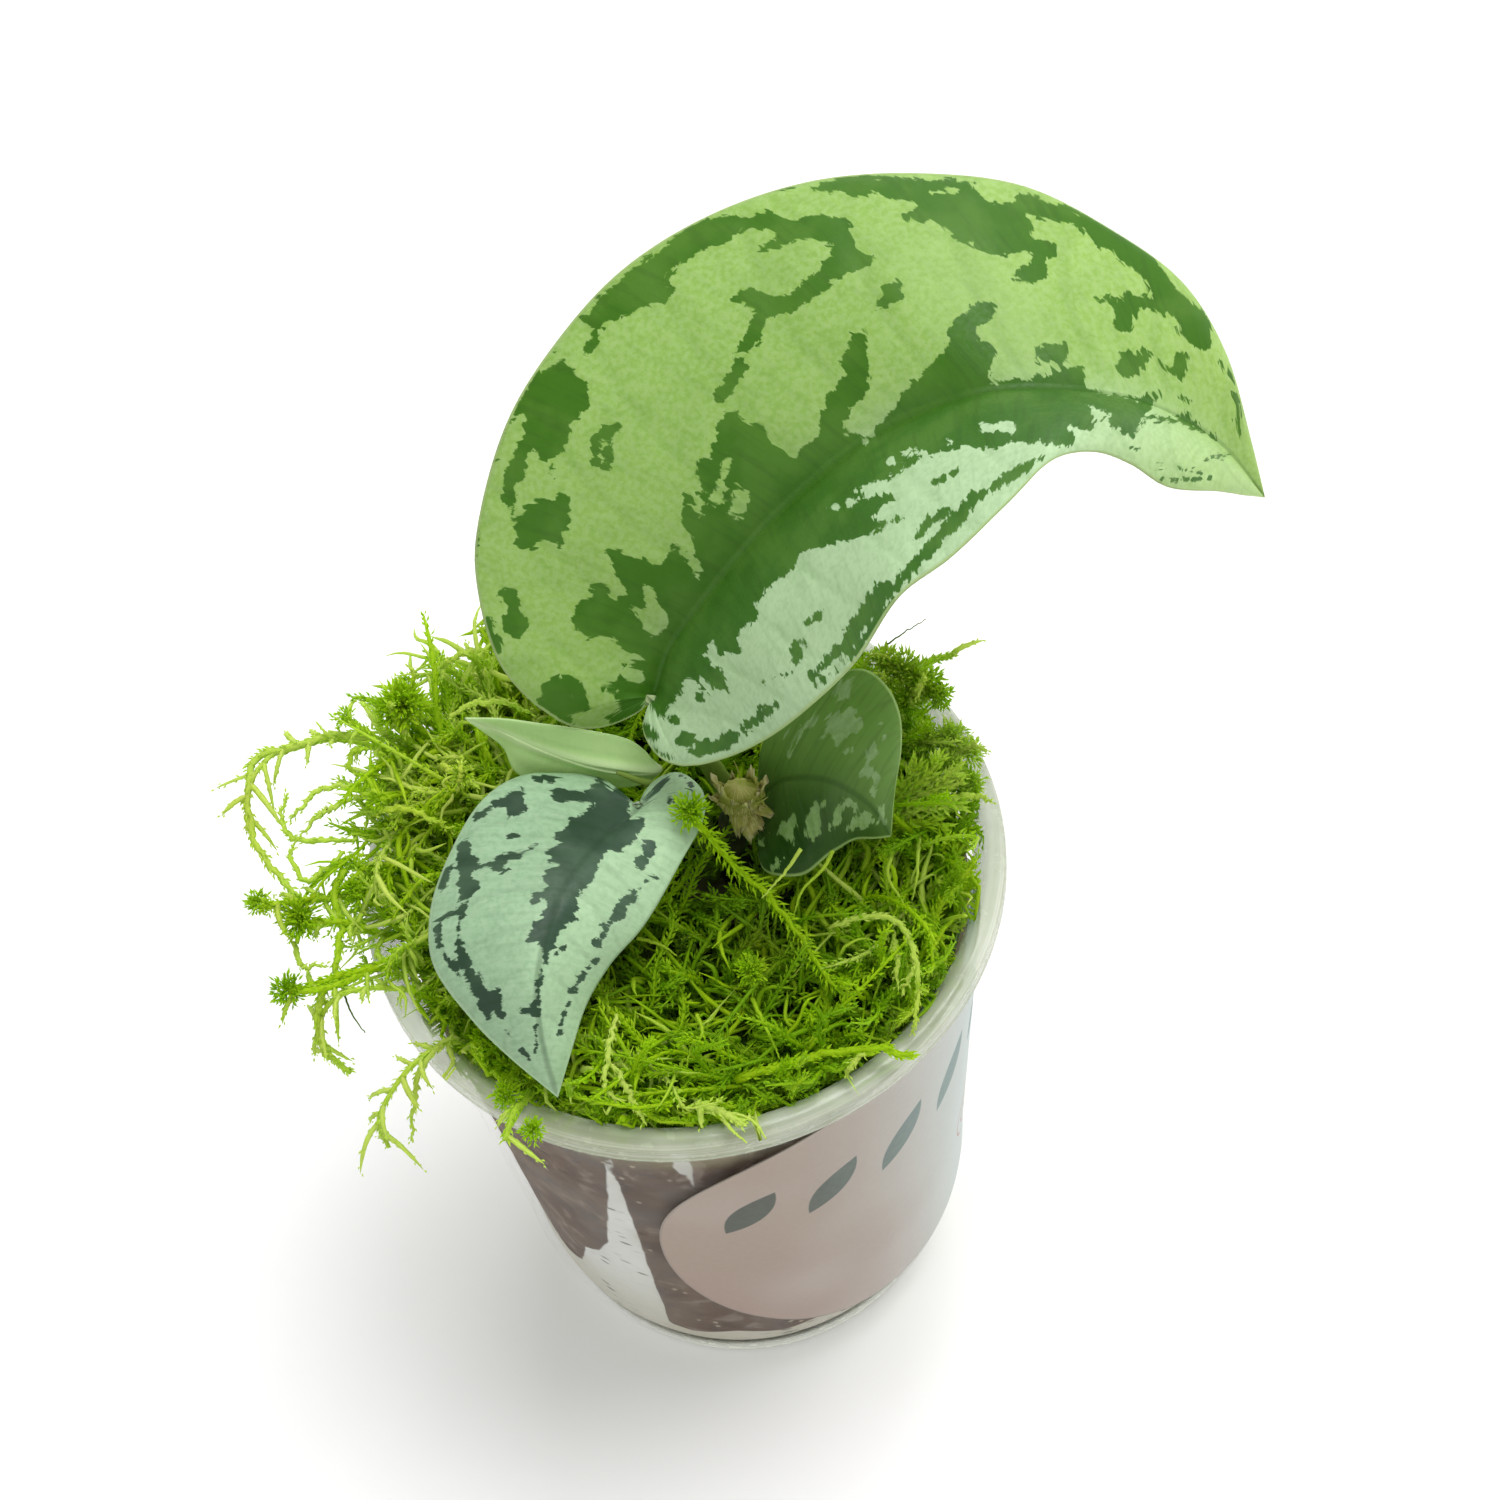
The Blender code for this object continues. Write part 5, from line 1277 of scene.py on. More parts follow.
def dress(bunch, paths, each, rng, long, fat, splay, tint, over_rim=False):
    """Leaflets in a spiral along many strands, pressed forward so that a strand looks like a fuzzy rope."""
    along, side, third = frames(paths)
    count, rings, _ = paths.shape
    spots = np.linspace(0.02, 0.999, each) * (rings - 1)
    low = np.minimum(spots.astype(int), rings - 2)
    part = (spots - low)[None, :, None]
    at = paths[:, low] * (1 - part) + paths[:, low + 1] * part
    turn = 2.4 * np.arange(each)[None] + rng.uniform(0, 6.28, (count, 1))
    cross = np.cos(turn)[..., None] * side[:, low] + np.sin(turn)[..., None] * third[:, low]
    reach = long * (1 - 0.3 * spots / rings)[None, :, None] * rng.uniform(0.7, 1.3, (count, each, 1))
    way = unit(along[:, low] * rng.uniform(0.6, 1.2, (count, each, 1)) + splay * cross)
    base = (at + 0.12 * cross).reshape(-1, 3)
    tip = (at + 0.12 * cross + way * reach).reshape(-1, 3)
    belly = (0.10 * cross * reach).reshape(-1, 3)
    fat = fat * rng.uniform(0.75, 1.25, len(base))
    shade = np.repeat(np.broadcast_to(tint, count), each) + rng.uniform(-0.07, 0.07, len(base))
    if over_rim:
        free = clear_of_rim(np.stack([base, tip], 1))
        base, tip, belly, fat, shade = (part[free] for part in (base, tip, belly, fat, shade))
    points, triangles = lenses(base, tip, fat, belly)
    bunch.add(
        settle(points, 27.3, 0.3, over_rim), [triangles],
        tint=np.repeat(shade, 5), tip=np.tile([0.0, 0.5, 0.5, 0.5, 1.0], len(base)),
    )


def zone_tint(points):
    """Paler and yellower on the left, its colour with painted backlight, and at the right edge, deeper green in front,
    and paler at the back right as painted light where the large leaf shades the moss.
    """
    x, y = points[..., 0], points[..., 1]
    left = 1 / (1 + np.exp((x + 15) / 4.0))
    right = np.exp(-((x - 19) ** 2 + (y + 9) ** 2) / 30.0)
    front_left = np.exp(-((x + 7) ** 2 + (y + 22) ** 2) / 30.0)
    front = np.exp(-((x - 2) ** 2 + (y + 14) ** 2) / 80.0)
    painted_light_back_right = np.exp(-((x - 20) ** 2 + (y - 12) ** 2) / 70.0)
    return 0.40 + 0.32 * left + 0.30 * right + 0.36 * painted_light_back_right + 0.26 * front_left - 0.16 * front


def scatter(count, rng, reach=26.0):
    """Root places over the ring of moss, clear of the hollow round the stem."""
    places = []
    while len(places) < count:
        r = reach * math.sqrt(rng.uniform(0, 1))
        turn = rng.uniform(0, 2 * math.pi)
        x, y = r * math.cos(turn), r * math.sin(turn)
        if math.hypot(x - HOLLOW_AT[0], y - HOLLOW_AT[1]) > HOLLOW_RADIUS + 0.4:
            places.append((x, y))
    return np.array(places)


def make_bed():
    """The dense inside of the moss, between the cup wall and the hollow, coloured dark as painted shade in the gaps
    between shoots.
    """
    rng = np.random.default_rng(7)
    around, rows = 150, 30
    turn = 2 * math.pi * np.arange(around) / around
    far = np.stack([np.cos(turn), np.sin(turn)], 1)
    near = np.array(HOLLOW_AT) + HOLLOW_RADIUS * far
    limit = wall_radius(63.0) - WALL - GAP - 0.3
    rings = [np.concatenate([near, np.full((around, 1), SUBSTRATE_TOP + 0.8)], 1)]
    for z in np.linspace(SUBSTRATE_TOP + 0.8, 63.4, 5):
        rings.append(np.concatenate([far * (wall_radius(z) - WALL - GAP - 0.2), np.full((around, 1), z)], 1))
    for share in np.linspace(0.985, 0.03, rows):
        xy = near + (far * limit - near) * share
        dip = 1.4 * np.exp(-((1 - share) / 0.04) ** 2) + 2.0 * np.exp(-(share / 0.06) ** 2)
        z = moss_height(xy[:, 0], xy[:, 1]) - 2.6 - dip + rng.uniform(-0.8, 0.8, around)
        rings.append(np.concatenate([xy + rng.uniform(-0.25, 0.25, (around, 2)) * (share < 0.95), z[:, None]], 1))
    grid = settle(np.array(rings), spare=1.6)
    count = len(grid)
    i = np.arange(count)[:, None]
    j = np.arange(around)[None]
    after = (j + 1) % around
    up = (i + 1) % count
    quads = np.stack([i * around + j, i * around + after, up * around + after, up * around + j], -1).reshape(-1, 4)
    bed = Bunch()
    tint = 0.06 + 0.5 * np.clip(zone_tint(grid.reshape(-1, 3)) - 0.4, 0, 1)
    bed.add(grid.reshape(-1, 3), [quads], tint=tint, tip=0.0)
    bed.make("MossBed", MOSS_SKIN, "moss", False)


make_bed()


def lying(xy, rng, sink, lift, spread):
    """Roots on the moss at some depth, and ways that lie over it, more upright near the rim."""
    count = len(xy)
    far = np.hypot(xy[:, 0], xy[:, 1])
    root = np.stack([xy[:, 0], xy[:, 1], moss_height(xy[:, 0], xy[:, 1]) - rng.uniform(*sink, count)], 1)
    out = np.concatenate([xy / np.maximum(far, 1)[:, None], np.zeros((count, 1))], 1)
    around = np.stack([-out[:, 1], out[:, 0], out[:, 2]], 1)
    near_rim = np.clip((far - 17) / 8, 0, 1)[:, None]
    left = np.clip((-xy[:, :1] - 8) / 12, 0, 1)
    way = unit(
        out * (rng.uniform(-0.8, 0.8, (count, 1)) * (1 - 0.7 * near_rim) + 0.7 * left)
        + around * rng.uniform(-1.0, 1.0, (count, 1)) * spread
        + np.array([0, 0, 1.0]) * (rng.uniform(0.0, 0.6, (count, 1)) + lift + 0.2 * near_rim)
    )
    return root, way


def beside_wall(count, rng, span):
    """Root places close to the wall, between two bearings in degrees."""
    turn = np.radians(rng.uniform(*span, count))
    r = rng.uniform(22.0, 26.3, count)
    return np.stack([r * np.cos(turn), r * np.sin(turn)], 1)


SCALES = np.array([0.75, 1.0, 0.85, 1.0, 0.88, 0.95, 0.8, 0.9, 0.74, 0.8, 0.6, 0.3])


def make_shoots(name, count, seed, sink, lift, long, each, leaf_long, depth_shade_shift):
    """Leafy shoots in all directions."""
    rng = np.random.default_rng(seed)
    xy = np.concatenate([scatter(count, rng), beside_wall(count // 3, rng, (-110, 95))])
    count = len(xy)
    root, way = lying(xy, rng, sink, lift, 1.0)
    bend = rng.uniform(-0.8, 0.8, (count, 3)) * [1, 1, 0.6] + np.array([0, 0, -0.25 - lift])
    length = rng.uniform(0.65, 1.2, count) * long
    paths = settle(arcs(root, way, length, bend, 12, rng.uniform(-1.5, 1.5, (count, 3)) * [1, 1, 0.5]), 26.8, 0.8)
    bunch = Bunch()
    tint = zone_tint(root) + rng.uniform(-0.2, 0.22, count) + depth_shade_shift
    grow(bunch, paths, 0.26 * SCALES[None] * rng.uniform(0.7, 1.3, (count, 1)), 4, tint + 0.06)
    dress(bunch, paths, each, rng, leaf_long, 0.13, 0.66, tint)
    bunch.make(name, MOSS_SKIN, "moss", False)


# Lower shoots are tinted darker and higher ones paler: painted shade with depth.
make_shoots("MossShootsLow", 225, 11, (1.0, 3.2), 0.0, 9.0, 56, 1.15, -0.10)
make_shoots("MossShootsHigh", 200, 12, (-0.4, 1.6), 0.15, 12.0, 84, 1.00, 0.10)


def make_branches():
    """Smooth tapering branches, paler than the shoots, curled and crossing."""
    rng = np.random.default_rng(13)
    count = 1250
    xy = scatter(count, rng, 26.4)
    root, way = lying(xy, rng, (-1.6, 1.8), 0.1, 1.2)
    way = unit(way + rng.uniform(-0.6, 0.6, (count, 3)) * [1, 1, 0.5])
    bend = rng.uniform(-0.9, 0.9, (count, 3)) * [1, 1, 0.6] + np.array([0, 0, -0.5])
    paths = arcs(root, way, rng.uniform(3.0, 8.5, count), bend, 8, rng.uniform(-0.5, 0.5, (count, 3)))
    body = np.array([0.65, 1.0, 0.9, 1.0, 0.82, 0.8, 0.5, 0.10])
    bunch = Bunch()
    tint = zone_tint(root) + rng.uniform(0.0, 0.5, count)
    grow(bunch, settle(paths, 26.9, 0.4), 0.27 * body[None] * rng.uniform(0.5, 1.25, (count, 1)), 4, tint)
    bunch.make("MossBranches", MOSS_SKIN, "moss", False)


make_branches()


def tuft(bunch, centre, axis, size, rng, tint, dense=62):
    """A head: a fuzzy ball of many short pointed leaflets."""
    count = int(dense * size**1.4)
    axis = unit(np.asarray(axis, float))
    way = unit(rng.normal(size=(count, 3)) + 0.5 * axis)
    root = np.asarray(centre, float) + way * size * rng.uniform(0.0, 0.68, (count, 1))
    long = size * rng.uniform(0.25, 0.55, (count, 1))
    lean = unit(way + 0.4 * axis + rng.uniform(-0.5, 0.5, (count, 3)))
    fat = (0.06 + 0.03 * size) * rng.uniform(0.8, 1.2, count)
    points, triangles = lenses(root, root + lean * long, fat, 0.1 * long * way)
    shade = np.repeat(tint + 0.08 + rng.uniform(-0.14, 0.14, count), 5)
    bunch.add(points, [triangles], tint=shade, tip=np.tile([0.0, 0.5, 0.5, 0.5, 1.0], count))


def make_heads():
    rng = np.random.default_rng(17)
    bunch = Bunch()
    for x, y in scatter(44, rng):
        centre = settle(np.array([[x, y, float(moss_height(x, y)) + rng.uniform(-0.6, 1.4)]]), 25.0, 2.4)[0]
        if centre[2] > 65:
            tint = float(zone_tint(centre)) + rng.uniform(-0.02, 0.12)
            tuft(bunch, centre, (0.04 * x, 0.04 * y, 1.0), rng.uniform(1.2, 2.0), rng, tint)
    bunch.make("MossHeads", MOSS_SKIN, "moss", False)


make_heads()


def make_edge():
    """Short shoots by the wall that rise and lean over the inside of the rim."""
    rng = np.random.default_rng(37)
    count = 190
    turn = np.radians(rng.uniform(-172, 100, count))
    r = rng.uniform(23.8, 26.8, count)
    root = np.stack([r * np.cos(turn), r * np.sin(turn), rng.uniform(64.8, 67.0, count)], 1)
    out = np.stack([np.cos(turn), np.sin(turn), 0 * turn], 1)
    around = np.stack([-out[:, 1], out[:, 0], out[:, 2]], 1)
    way = unit(out * rng.uniform(0.2, 0.8, (count, 1)) + around * rng.uniform(-0.9, 0.9, (count, 1))
               + np.array([0, 0, 1.0]) * rng.uniform(0.45, 1.0, (count, 1)))
    bend = 0.5 * around * rng.uniform(-1, 1, (count, 1)) + np.array([0, 0, -0.35])
    sway = rng.uniform(-0.7, 0.7, (count, 3))
    paths = settle(arcs(root, way, rng.uniform(3.2, 6.0, count), bend, 10, sway), 26.9, 0.8)
    bunch = Bunch()
    yellow = 0.22 * (out[:, 0] > 0.6) + 0.10 * (out[:, 0] < 0)
    tint = 0.52 + yellow + rng.uniform(-0.22, 0.26, count)
    grow(bunch, paths, 0.25 * SCALES[None, :10] * rng.uniform(0.7, 1.3, (count, 1)), 4, tint)
    dress(bunch, paths, 34, rng, 1.05, 0.13, 0.7, tint)
    bunch.make("MossEdge", MOSS_SKIN, "moss", False)


make_edge()


def make_overhang():
    """Shoots from the left and the back, up over the rim and out, in a loose tangled mass."""
    rng = np.random.default_rng(29)
    bunch = Bunch()
    count = 175
    degrees = rng.uniform(96, 196, count)
    bearing = np.radians(degrees)
    near = rng.uniform(16.0, 27.0, count)
    far = near + rng.uniform(1.0, 9.0, count)
    far = np.minimum(far, np.where(degrees > 184, 31.0, 33.5))
    low = moss_height(near * np.cos(bearing), near * np.sin(bearing)) - rng.uniform(-0.5, 1.6, count)
    low = np.maximum(low, 69.5 - 20 * np.clip(25.0 - near, 0, 1))
    rise = rng.uniform(3.0, 9.5, count) * np.clip(1.25 - np.abs(degrees - 150) / 75, 0.35, 1)
    t = np.linspace(0, 1, 12)[None]
    swing = rng.uniform(-0.42, 0.42, (count, 1)) * t
    r = near[:, None] + (far - near)[:, None] * t ** rng.uniform(0.8, 1.6, (count, 1))
    z = low[:, None] + rise[:, None] * (t * 1.5 - 0.75 * t * t)
    drop = rng.uniform(0.0, 7.0, (count, 1)) * np.clip(t - 0.55, 0, 1) ** 2 * 4.0
    z = z - np.where(rng.uniform(0, 1, (count, 1)) < 0.45, drop, 0)
    turn = bearing[:, None] + swing
    paths = np.stack([r * np.cos(turn), r * np.sin(turn), z], -1)
    curl = rng.uniform(-1.1, 1.1, (count, 1, 3))
    paths += curl * (np.sin(rng.uniform(3, 8, (count, 1)) * t + rng.uniform(0, 6, (count, 1))) * t)[..., None]
    beyond = np.hypot(paths[..., 0], paths[..., 1])
    paths[..., 2] = np.maximum(paths[..., 2], 69.0 - 12 * np.clip(beyond - 34, 0, 1))
    paths = settle(paths, 26.9, 0.8, True)
    tint = 0.74 + rng.uniform(-0.24, 0.3, count)
    grow(bunch, paths, 0.28 * SCALES[None] * rng.uniform(0.8, 1.25, (count, 1)), 4, tint + 0.06)
    dress(bunch, paths, 66, rng, 1.0, 0.13, 0.58, tint, True)
    twigs = 520
    pick = rng.integers(0, count, twigs)
    stop = rng.integers(3, 12, twigs)
    start = paths[pick, stop]
    outward = np.concatenate([unit(start[:, :2]), np.zeros((twigs, 1))], 1)
    way = unit(outward * rng.uniform(-0.2, 0.8, (twigs, 1)) + rng.uniform(-1.0, 1.0, (twigs, 3)) + [0, 0, 0.15])
    bend = rng.uniform(-0.8, 0.8, (twigs, 3)) + np.array([0, 0, -0.45])
    branch = arcs(start, way, rng.uniform(2.5, 6.0, twigs), bend, 8, rng.uniform(-0.5, 0.5, (twigs, 3)))
    body = np.array([0.7, 1.0, 0.9, 1.0, 0.82, 0.8, 0.5, 0.10])
    branch = settle(branch, 26.9, 0.4, True)
    free = clear_of_rim(branch)
    width = 0.27 * body[None] * rng.uniform(0.6, 1.25, (twigs, 1))
    grow(bunch, branch[free], width[free], 4, tint[pick][free] + 0.12)
    for k in rng.integers(0, count, 14):
        tuft(bunch, paths[k, -1], paths[k, -1] - paths[k, -3], rng.uniform(1.2, 1.8), rng, 0.62)
    bunch.make("MossOverhang", MOSS_SKIN, "moss", False)


make_overhang()


def on_level(px, py, z):
    """The point at a height that lies at a place in the picture."""
    ray = FOCAL * AHEAD + (px - CENTRE) * RIGHTWARD - (py - CENTRE) * UPWARD
    return EYE + ray * (z - EYE[2]) / ray[2]


# Strands placed one by one: kind, tint and (x, y in the picture, height)
PLACED = [
    ("brush", 0.62, [(690, 812, 81.0), (705, 832, 79.0), (721, 850, 77), (738, 869, 75), (772, 899, 73.5),
                     (804, 941, 72), (826, 975, 71), (850, 1006, 69.5)]),
    ("thin", 1.00, [(801, 849, 79.5), (785, 872, 78), (773, 886, 77), (762, 898, 76)]),
    ("thin", 0.86, [(833, 851, 76), (822, 870, 75.5), (805, 887, 74.5), (797, 903, 73.5), (794, 917, 72)]),
    ("thin", 0.92, [(919, 837, 71), (917, 876, 71.5), (912, 901, 70)]),
    ("thin", 0.88, [(895, 845, 72), (888, 876, 72), (902, 901, 71), (913, 917, 69.5)]),
    ("smooth", 0.98, [(830, 928, 72), (847, 921, 73), (872, 916, 73), (897, 921, 73), (908, 937, 73), (916, 959, 72.5),
                      (919, 987, 71.5), (916, 1014, 70.5), (913, 1034, 69)]),
    ("smooth", 0.95, [(894, 940, 71), (898, 962, 72), (897, 987, 71)]),
    ("smooth", 0.98, [(908, 942, 71), (914, 968, 72), (902, 992, 71)]),
    ("thin", 0.85, [(838, 959, 70), (847, 945, 71.5), (861, 939, 71.5), (875, 941, 70)]),
    ("thin", 0.85, [(637, 938, 71), (661, 945, 71), (677, 956, 70)]),
    ("smooth", 1.02, [(616, 1014, 72), (609, 1051, 72), (606, 1087, 71), (627, 1106, 69)]),
    ("smooth", 1.02, [(613, 1064, 71.5), (627, 1089, 70.5), (644, 1123, 69)]),
    ("thin", 0.82, [(697, 1014, 71), (702, 1034, 71), (691, 1048, 70.5), (686, 1070, 69.5)]),
    ("thin", 0.80, [(752, 998, 71), (769, 1034, 71), (780, 1059, 69.5)]),
    ("leafy", 0.66, [(736, 1080, 69), (786, 1064, 69.5), (830, 1053, 69.8), (880, 1048, 70), (895, 1052, 70.2),
                     (913, 1057, 70)]),
    ("smooth", 0.95, [(863, 1053, 70), (852, 1064, 70), (847, 1078, 68.8)]),
    ("thin", 1.10, [(702, 1112, 68.8), (724, 1112, 69.6), (744, 1116, 69.8), (758, 1126, 69.6), (766, 1139, 68.9)]),
    ("thin", 1.10, [(722, 1118, 69.2), (734, 1132, 69.2), (747, 1143, 68.9)]),
    ("leafy", 0.60, [(640, 900, 71), (668, 880, 73), (676, 862, 76), (668, 846, 78)]),
    ("leafy", 0.95, [(372, 738, 77), (332, 735, 78), (307, 743, 78.5), (283, 750, 78.8), (257, 758, 79), (250, 780, 78.5),
                     (248, 807, 78), (253, 837, 77), (265, 860, 76), (283, 880, 75), (297, 900, 74)]),
    ("leafy", 0.72, [(392, 966, 70.5), (350, 973, 71), (320, 983, 71), (298, 990, 71)]),
    ("leafy", 0.90, [(322, 985, 71), (318, 1023, 68), (323, 1047, 66), (350, 1072, 62)]),
    ("dark", 0.0, [(340, 975, 71), (350, 1010, 68), (365, 1033, 66)]),
    ("smooth", 0.92, [(357, 838, 74), (323, 840, 75), (290, 836, 75.5), (282, 818, 76), (287, 793, 77)]),
    ("smooth", 0.98, [(357, 787, 76), (335, 786, 77), (315, 792, 77), (300, 807, 77), (290, 822, 76.5)]),
    ("smooth", 0.98, [(352, 798, 75.5), (330, 808, 76), (317, 817, 76), (300, 835, 75.5)]),
    ("smooth", 0.90, [(345, 852, 74), (323, 870, 74), (307, 880, 74), (290, 857, 75), (297, 838, 75.5)]),
    ("leafy", 0.80, [(345, 870, 74), (334, 893, 73.5), (341, 923, 72.5), (337, 957, 71.5), (337, 977, 71)]),
    ("smooth", 0.95, [(300, 925, 73), (296, 945, 72), (301, 965, 71.5), (327, 965, 71.5)]),
    ("smooth", 0.90, [(375, 890, 72), (362, 915, 72), (346, 942, 71.5)]),
    ("smooth", 1.00, [(452, 1035, 69.5), (436, 1050, 70), (420, 1070, 69.4), (414, 1100, 66), (411, 1141, 62.5)]),
    ("smooth", 0.86, [(373, 815, 77), (397, 808, 78), (427, 817, 78), (453, 832, 76)]),
    ("smooth", 0.92, [(440, 764, 81), (457, 773, 81), (478, 788, 80)]),
    ("smooth", 0.90, [(457, 792, 80), (461, 772, 82), (462, 756, 82)]),
    ("smooth", 0.95, [(450, 716, 82), (473, 704, 83), (502, 702, 82.5), (530, 712, 80)]),
    ("smooth", 0.92, [(440, 668, 80), (458, 656, 81), (486, 649, 81)]),
    ("thin", 0.95, [(414, 680, 81), (412, 670, 82), (405, 664, 82)]),
    ("thin", 0.95, [(336, 740, 78), (326, 733, 79), (316, 722, 79.5)]),
    ("smooth", 0.85, [(368, 748, 77), (352, 752, 78), (350, 768, 77.5), (372, 782, 76)]),
    ("smooth", 0.90, [(930, 792, 72), (945, 778, 74), (962, 762, 75)]),
    ("smooth", 0.90, [(936, 796, 72), (952, 786, 73.5), (968, 775, 74)]),
    ("dark", 0.0, [(880, 650, 74), (902, 634, 77), (926, 619, 79)]),
    # The feathers' tints are raised as painted light where the large leaf shades them.
    ("feather", 0.86, [(889, 818, 70.5), (903, 797, 72.5), (925, 778, 74), (940, 756, 75)]),
    ("feather", 0.92, [(888, 812, 70.5), (915, 798, 72.5), (940, 786, 73.5), (957, 773, 74)]),
    ("feather", 0.90, [(890, 822, 70.5), (918, 810, 72), (942, 804, 72.5), (962, 806, 72)]),
    ("feather", 0.84, [(889, 808, 71), (901, 790, 73), (911, 776, 74), (917, 764, 74.5)]),
    ("feather", 0.78, [(893, 824, 70.5), (910, 824, 71), (930, 822, 71), (944, 826, 70.5)]),
    ("smooth", 0.92, [(938, 804, 72.5), (962, 796, 72.8), (982, 797, 72), (992, 802, 71)]),
]
# Heads placed one by one: x, y in the picture, height, size and tint
PLACED_HEADS = [
    (690, 812, 81.5, 2.2, 0.62), (752, 970, 72.0, 1.9, 0.60), (404, 704, 80.0, 2.9, 0.62), (392, 712, 79.0, 2.2, 0.60),
    (300, 918, 74.0, 2.5, 0.56), (258, 903, 74.5, 1.6, 0.62), (288, 991, 71.2, 2.0, 0.50), (506, 1096, 69.4, 1.8, 0.60),
    # From (922, 682) on, the back-right heads have tints raised as painted light where the large leaf shades them.
    (532, 1130, 69.2, 1.6, 0.62), (922, 682, 73.0, 2.5, 0.80), (903, 670, 73.5, 2.4, 0.86),
    (938, 695, 72.0, 2.0, 0.78), (906, 700, 72.0, 2.2, 0.76), (884, 662, 74.0, 2.0, 0.88), (925, 742, 71.0, 2.3, 0.86),
    (950, 738, 71.0, 2.2, 0.94), (968, 752, 70.2, 1.9, 0.94), (948, 764, 70.5, 2.0, 0.96), (972, 783, 70.0, 1.7, 0.86),
    (461, 775, 81.0, 1.5, 0.80), (668, 846, 78.0, 1.4, 0.60), (352, 888, 73.5, 1.6, 0.62), (640, 905, 72.5, 1.5, 0.66),
]


def make_placed():
    rng = np.random.default_rng(31)
    bunch = Bunch()
    for kind, tint, places in PLACED:
        line = smooth_path([on_level(*place) for place in places], 26)
        length = np.linalg.norm(np.diff(line, axis=0), axis=1).sum()
        line[1:-1] += (0.03 if kind in ("thin", "dark") else 0.10) * rng.standard_normal((24, 3))
        if kind == "leafy":
            radii = np.linspace(0.40, 0.26, 26) * (1 + 0.16 * (np.arange(26) % 2))
            grow(bunch, line[None], radii[None], 5, tint)
            dress(bunch, line[None], int(7 * length), rng, 0.95, 0.14, 0.55, tint + 0.02, True)
        elif kind == "brush":
            grow(bunch, line[None], np.linspace(0.30, 0.20, 26)[None], 5, tint + 0.10)
            dress(bunch, line[None], int(8 * length), rng, 1.35, 0.13, 1.0, tint + 0.02, True)
        elif kind == "feather":
            grow(bunch, line[None], np.linspace(0.55, 0.20, 26)[None], 5, tint)
            dress(bunch, line[None], int(12 * length), rng, 1.7, 0.16, 0.6, tint + 0.02, True)
        elif kind == "smooth":
            radii = 0.27 * np.sin(np.linspace(0.55, 3.05, 26)) ** 0.6 * (1 + 0.12 * (np.arange(26) % 2))
            grow(bunch, line[None], radii[None], 5, tint)
            dress(bunch, line[None], int(5 * length), rng, 0.75, 0.11, 0.34, tint + 0.05, True)
        else:
            grow(bunch, line[None], np.linspace(0.22, 0.08, 26)[None] * (0.6 if kind == "dark" else 1.0), 4, tint)
    for px, py, z, size, tint in PLACED_HEADS:
        tuft(bunch, on_level(px, py, z), (0.0, -0.3, 1.0), size, rng, tint, 125)
    bunch.make("MossPlaced", MOSS_SKIN, "moss", False)


make_placed()


def make_long_strands():
    """The strands that hang over the rim or stand out of the outline, with their side branches."""
    rng = np.random.default_rng(19)
    bunch = Bunch()
    for k, path in enumerate(LONG_STRANDS):
        line = smooth_path(path, 40)
        line += 0.18 * np.sin(np.linspace(0, 9, 40) + k)[:, None] * np.array([0.4, 0.7, 0.6])
        length = np.linalg.norm(np.diff(line, axis=0), axis=1).sum()
        tint = (1.1 if k == 14 else 0.96 if k in (10, 11, 15) else 0.80) + rng.uniform(-0.06, 0.14)
        slim = 0.72 if k in (0, 4, 12) else 1.0
        tint += 0.14 * (slim < 1)
        radii = slim * (np.linspace(0.38, 0.28, 40) * (1 + 0.2 * (np.arange(40) % 2)))[None]
        grow(bunch, line[None], radii, 5, tint)
        dress(bunch, line[None], int(7 * slim * length), rng, slim, 0.14 * slim, 0.55, tint, True)
        stops = np.linspace(4, 37, 3 if k > 12 else max(5, int(length / 1.6))).astype(int)
        ahead = unit(np.gradient(line, axis=0))[stops]
        side = unit(np.cross(ahead, [0.1, 0.2, 1.0])) * np.where(np.arange(len(stops)) % 2, 1, -1)[:, None]
        way = unit(0.7 * ahead + side + rng.uniform(-0.5, 0.5, (len(stops), 3)))
        long = rng.uniform(2.2, 4.6, len(stops)) * np.where(np.hypot(line[stops, 0], line[stops, 1]) > 31, 1.0, 0.6)
        droop = np.array([[0.1, 0.0, -0.5]]) + rng.uniform(-0.3, 0.3, (len(stops), 3))
        branch = arcs(line[stops], way, long, droop, 8)
        body = np.array([0.8, 1.0, 0.9, 1.0, 0.82, 0.8, 0.5, 0.10])
        width = 0.28 * body[None] * rng.uniform(0.8, 1.2, (len(stops), 1))
        grow(bunch, settle(branch, 27.2, 0.3, True), width, 4, tint + 0.16)
        dress(bunch, branch, 12, rng, 0.6, 0.11, 0.3, tint + 0.16, True)
        if k in (1, 6):
            tuft(bunch, line[-1], line[-1] - line[-4], 1.4, rng, 0.66)
    bunch.make("MossStrands", MOSS_SKIN, "moss", False)


make_long_strands()


# Stem and dry sheaths


def bark_skin():
    s = Skin("stem_skin")
    grain = s.noise(500.0, 4.0)
    rings = s.noise(1.0, 2.0, s.vector(0.0, 0.0, s.maths("MULTIPLY", s.axis(2), 1500.0)))
    colour = s.blend(s.between(grain, 0.35, 0.7), "#1E2A12", "#3E4426")
    colour = s.blend(s.between(rings, 0.5, 0.7, 0.0, 0.5), colour, "#5A4A2E")
    s.feed(s.shader.inputs["Base Color"], colour)
    s.shader.inputs["Roughness"].default_value = 0.6
    s.bump(s.maths("ADD", grain, rings), 0.5, 0.0003)
    return s.material


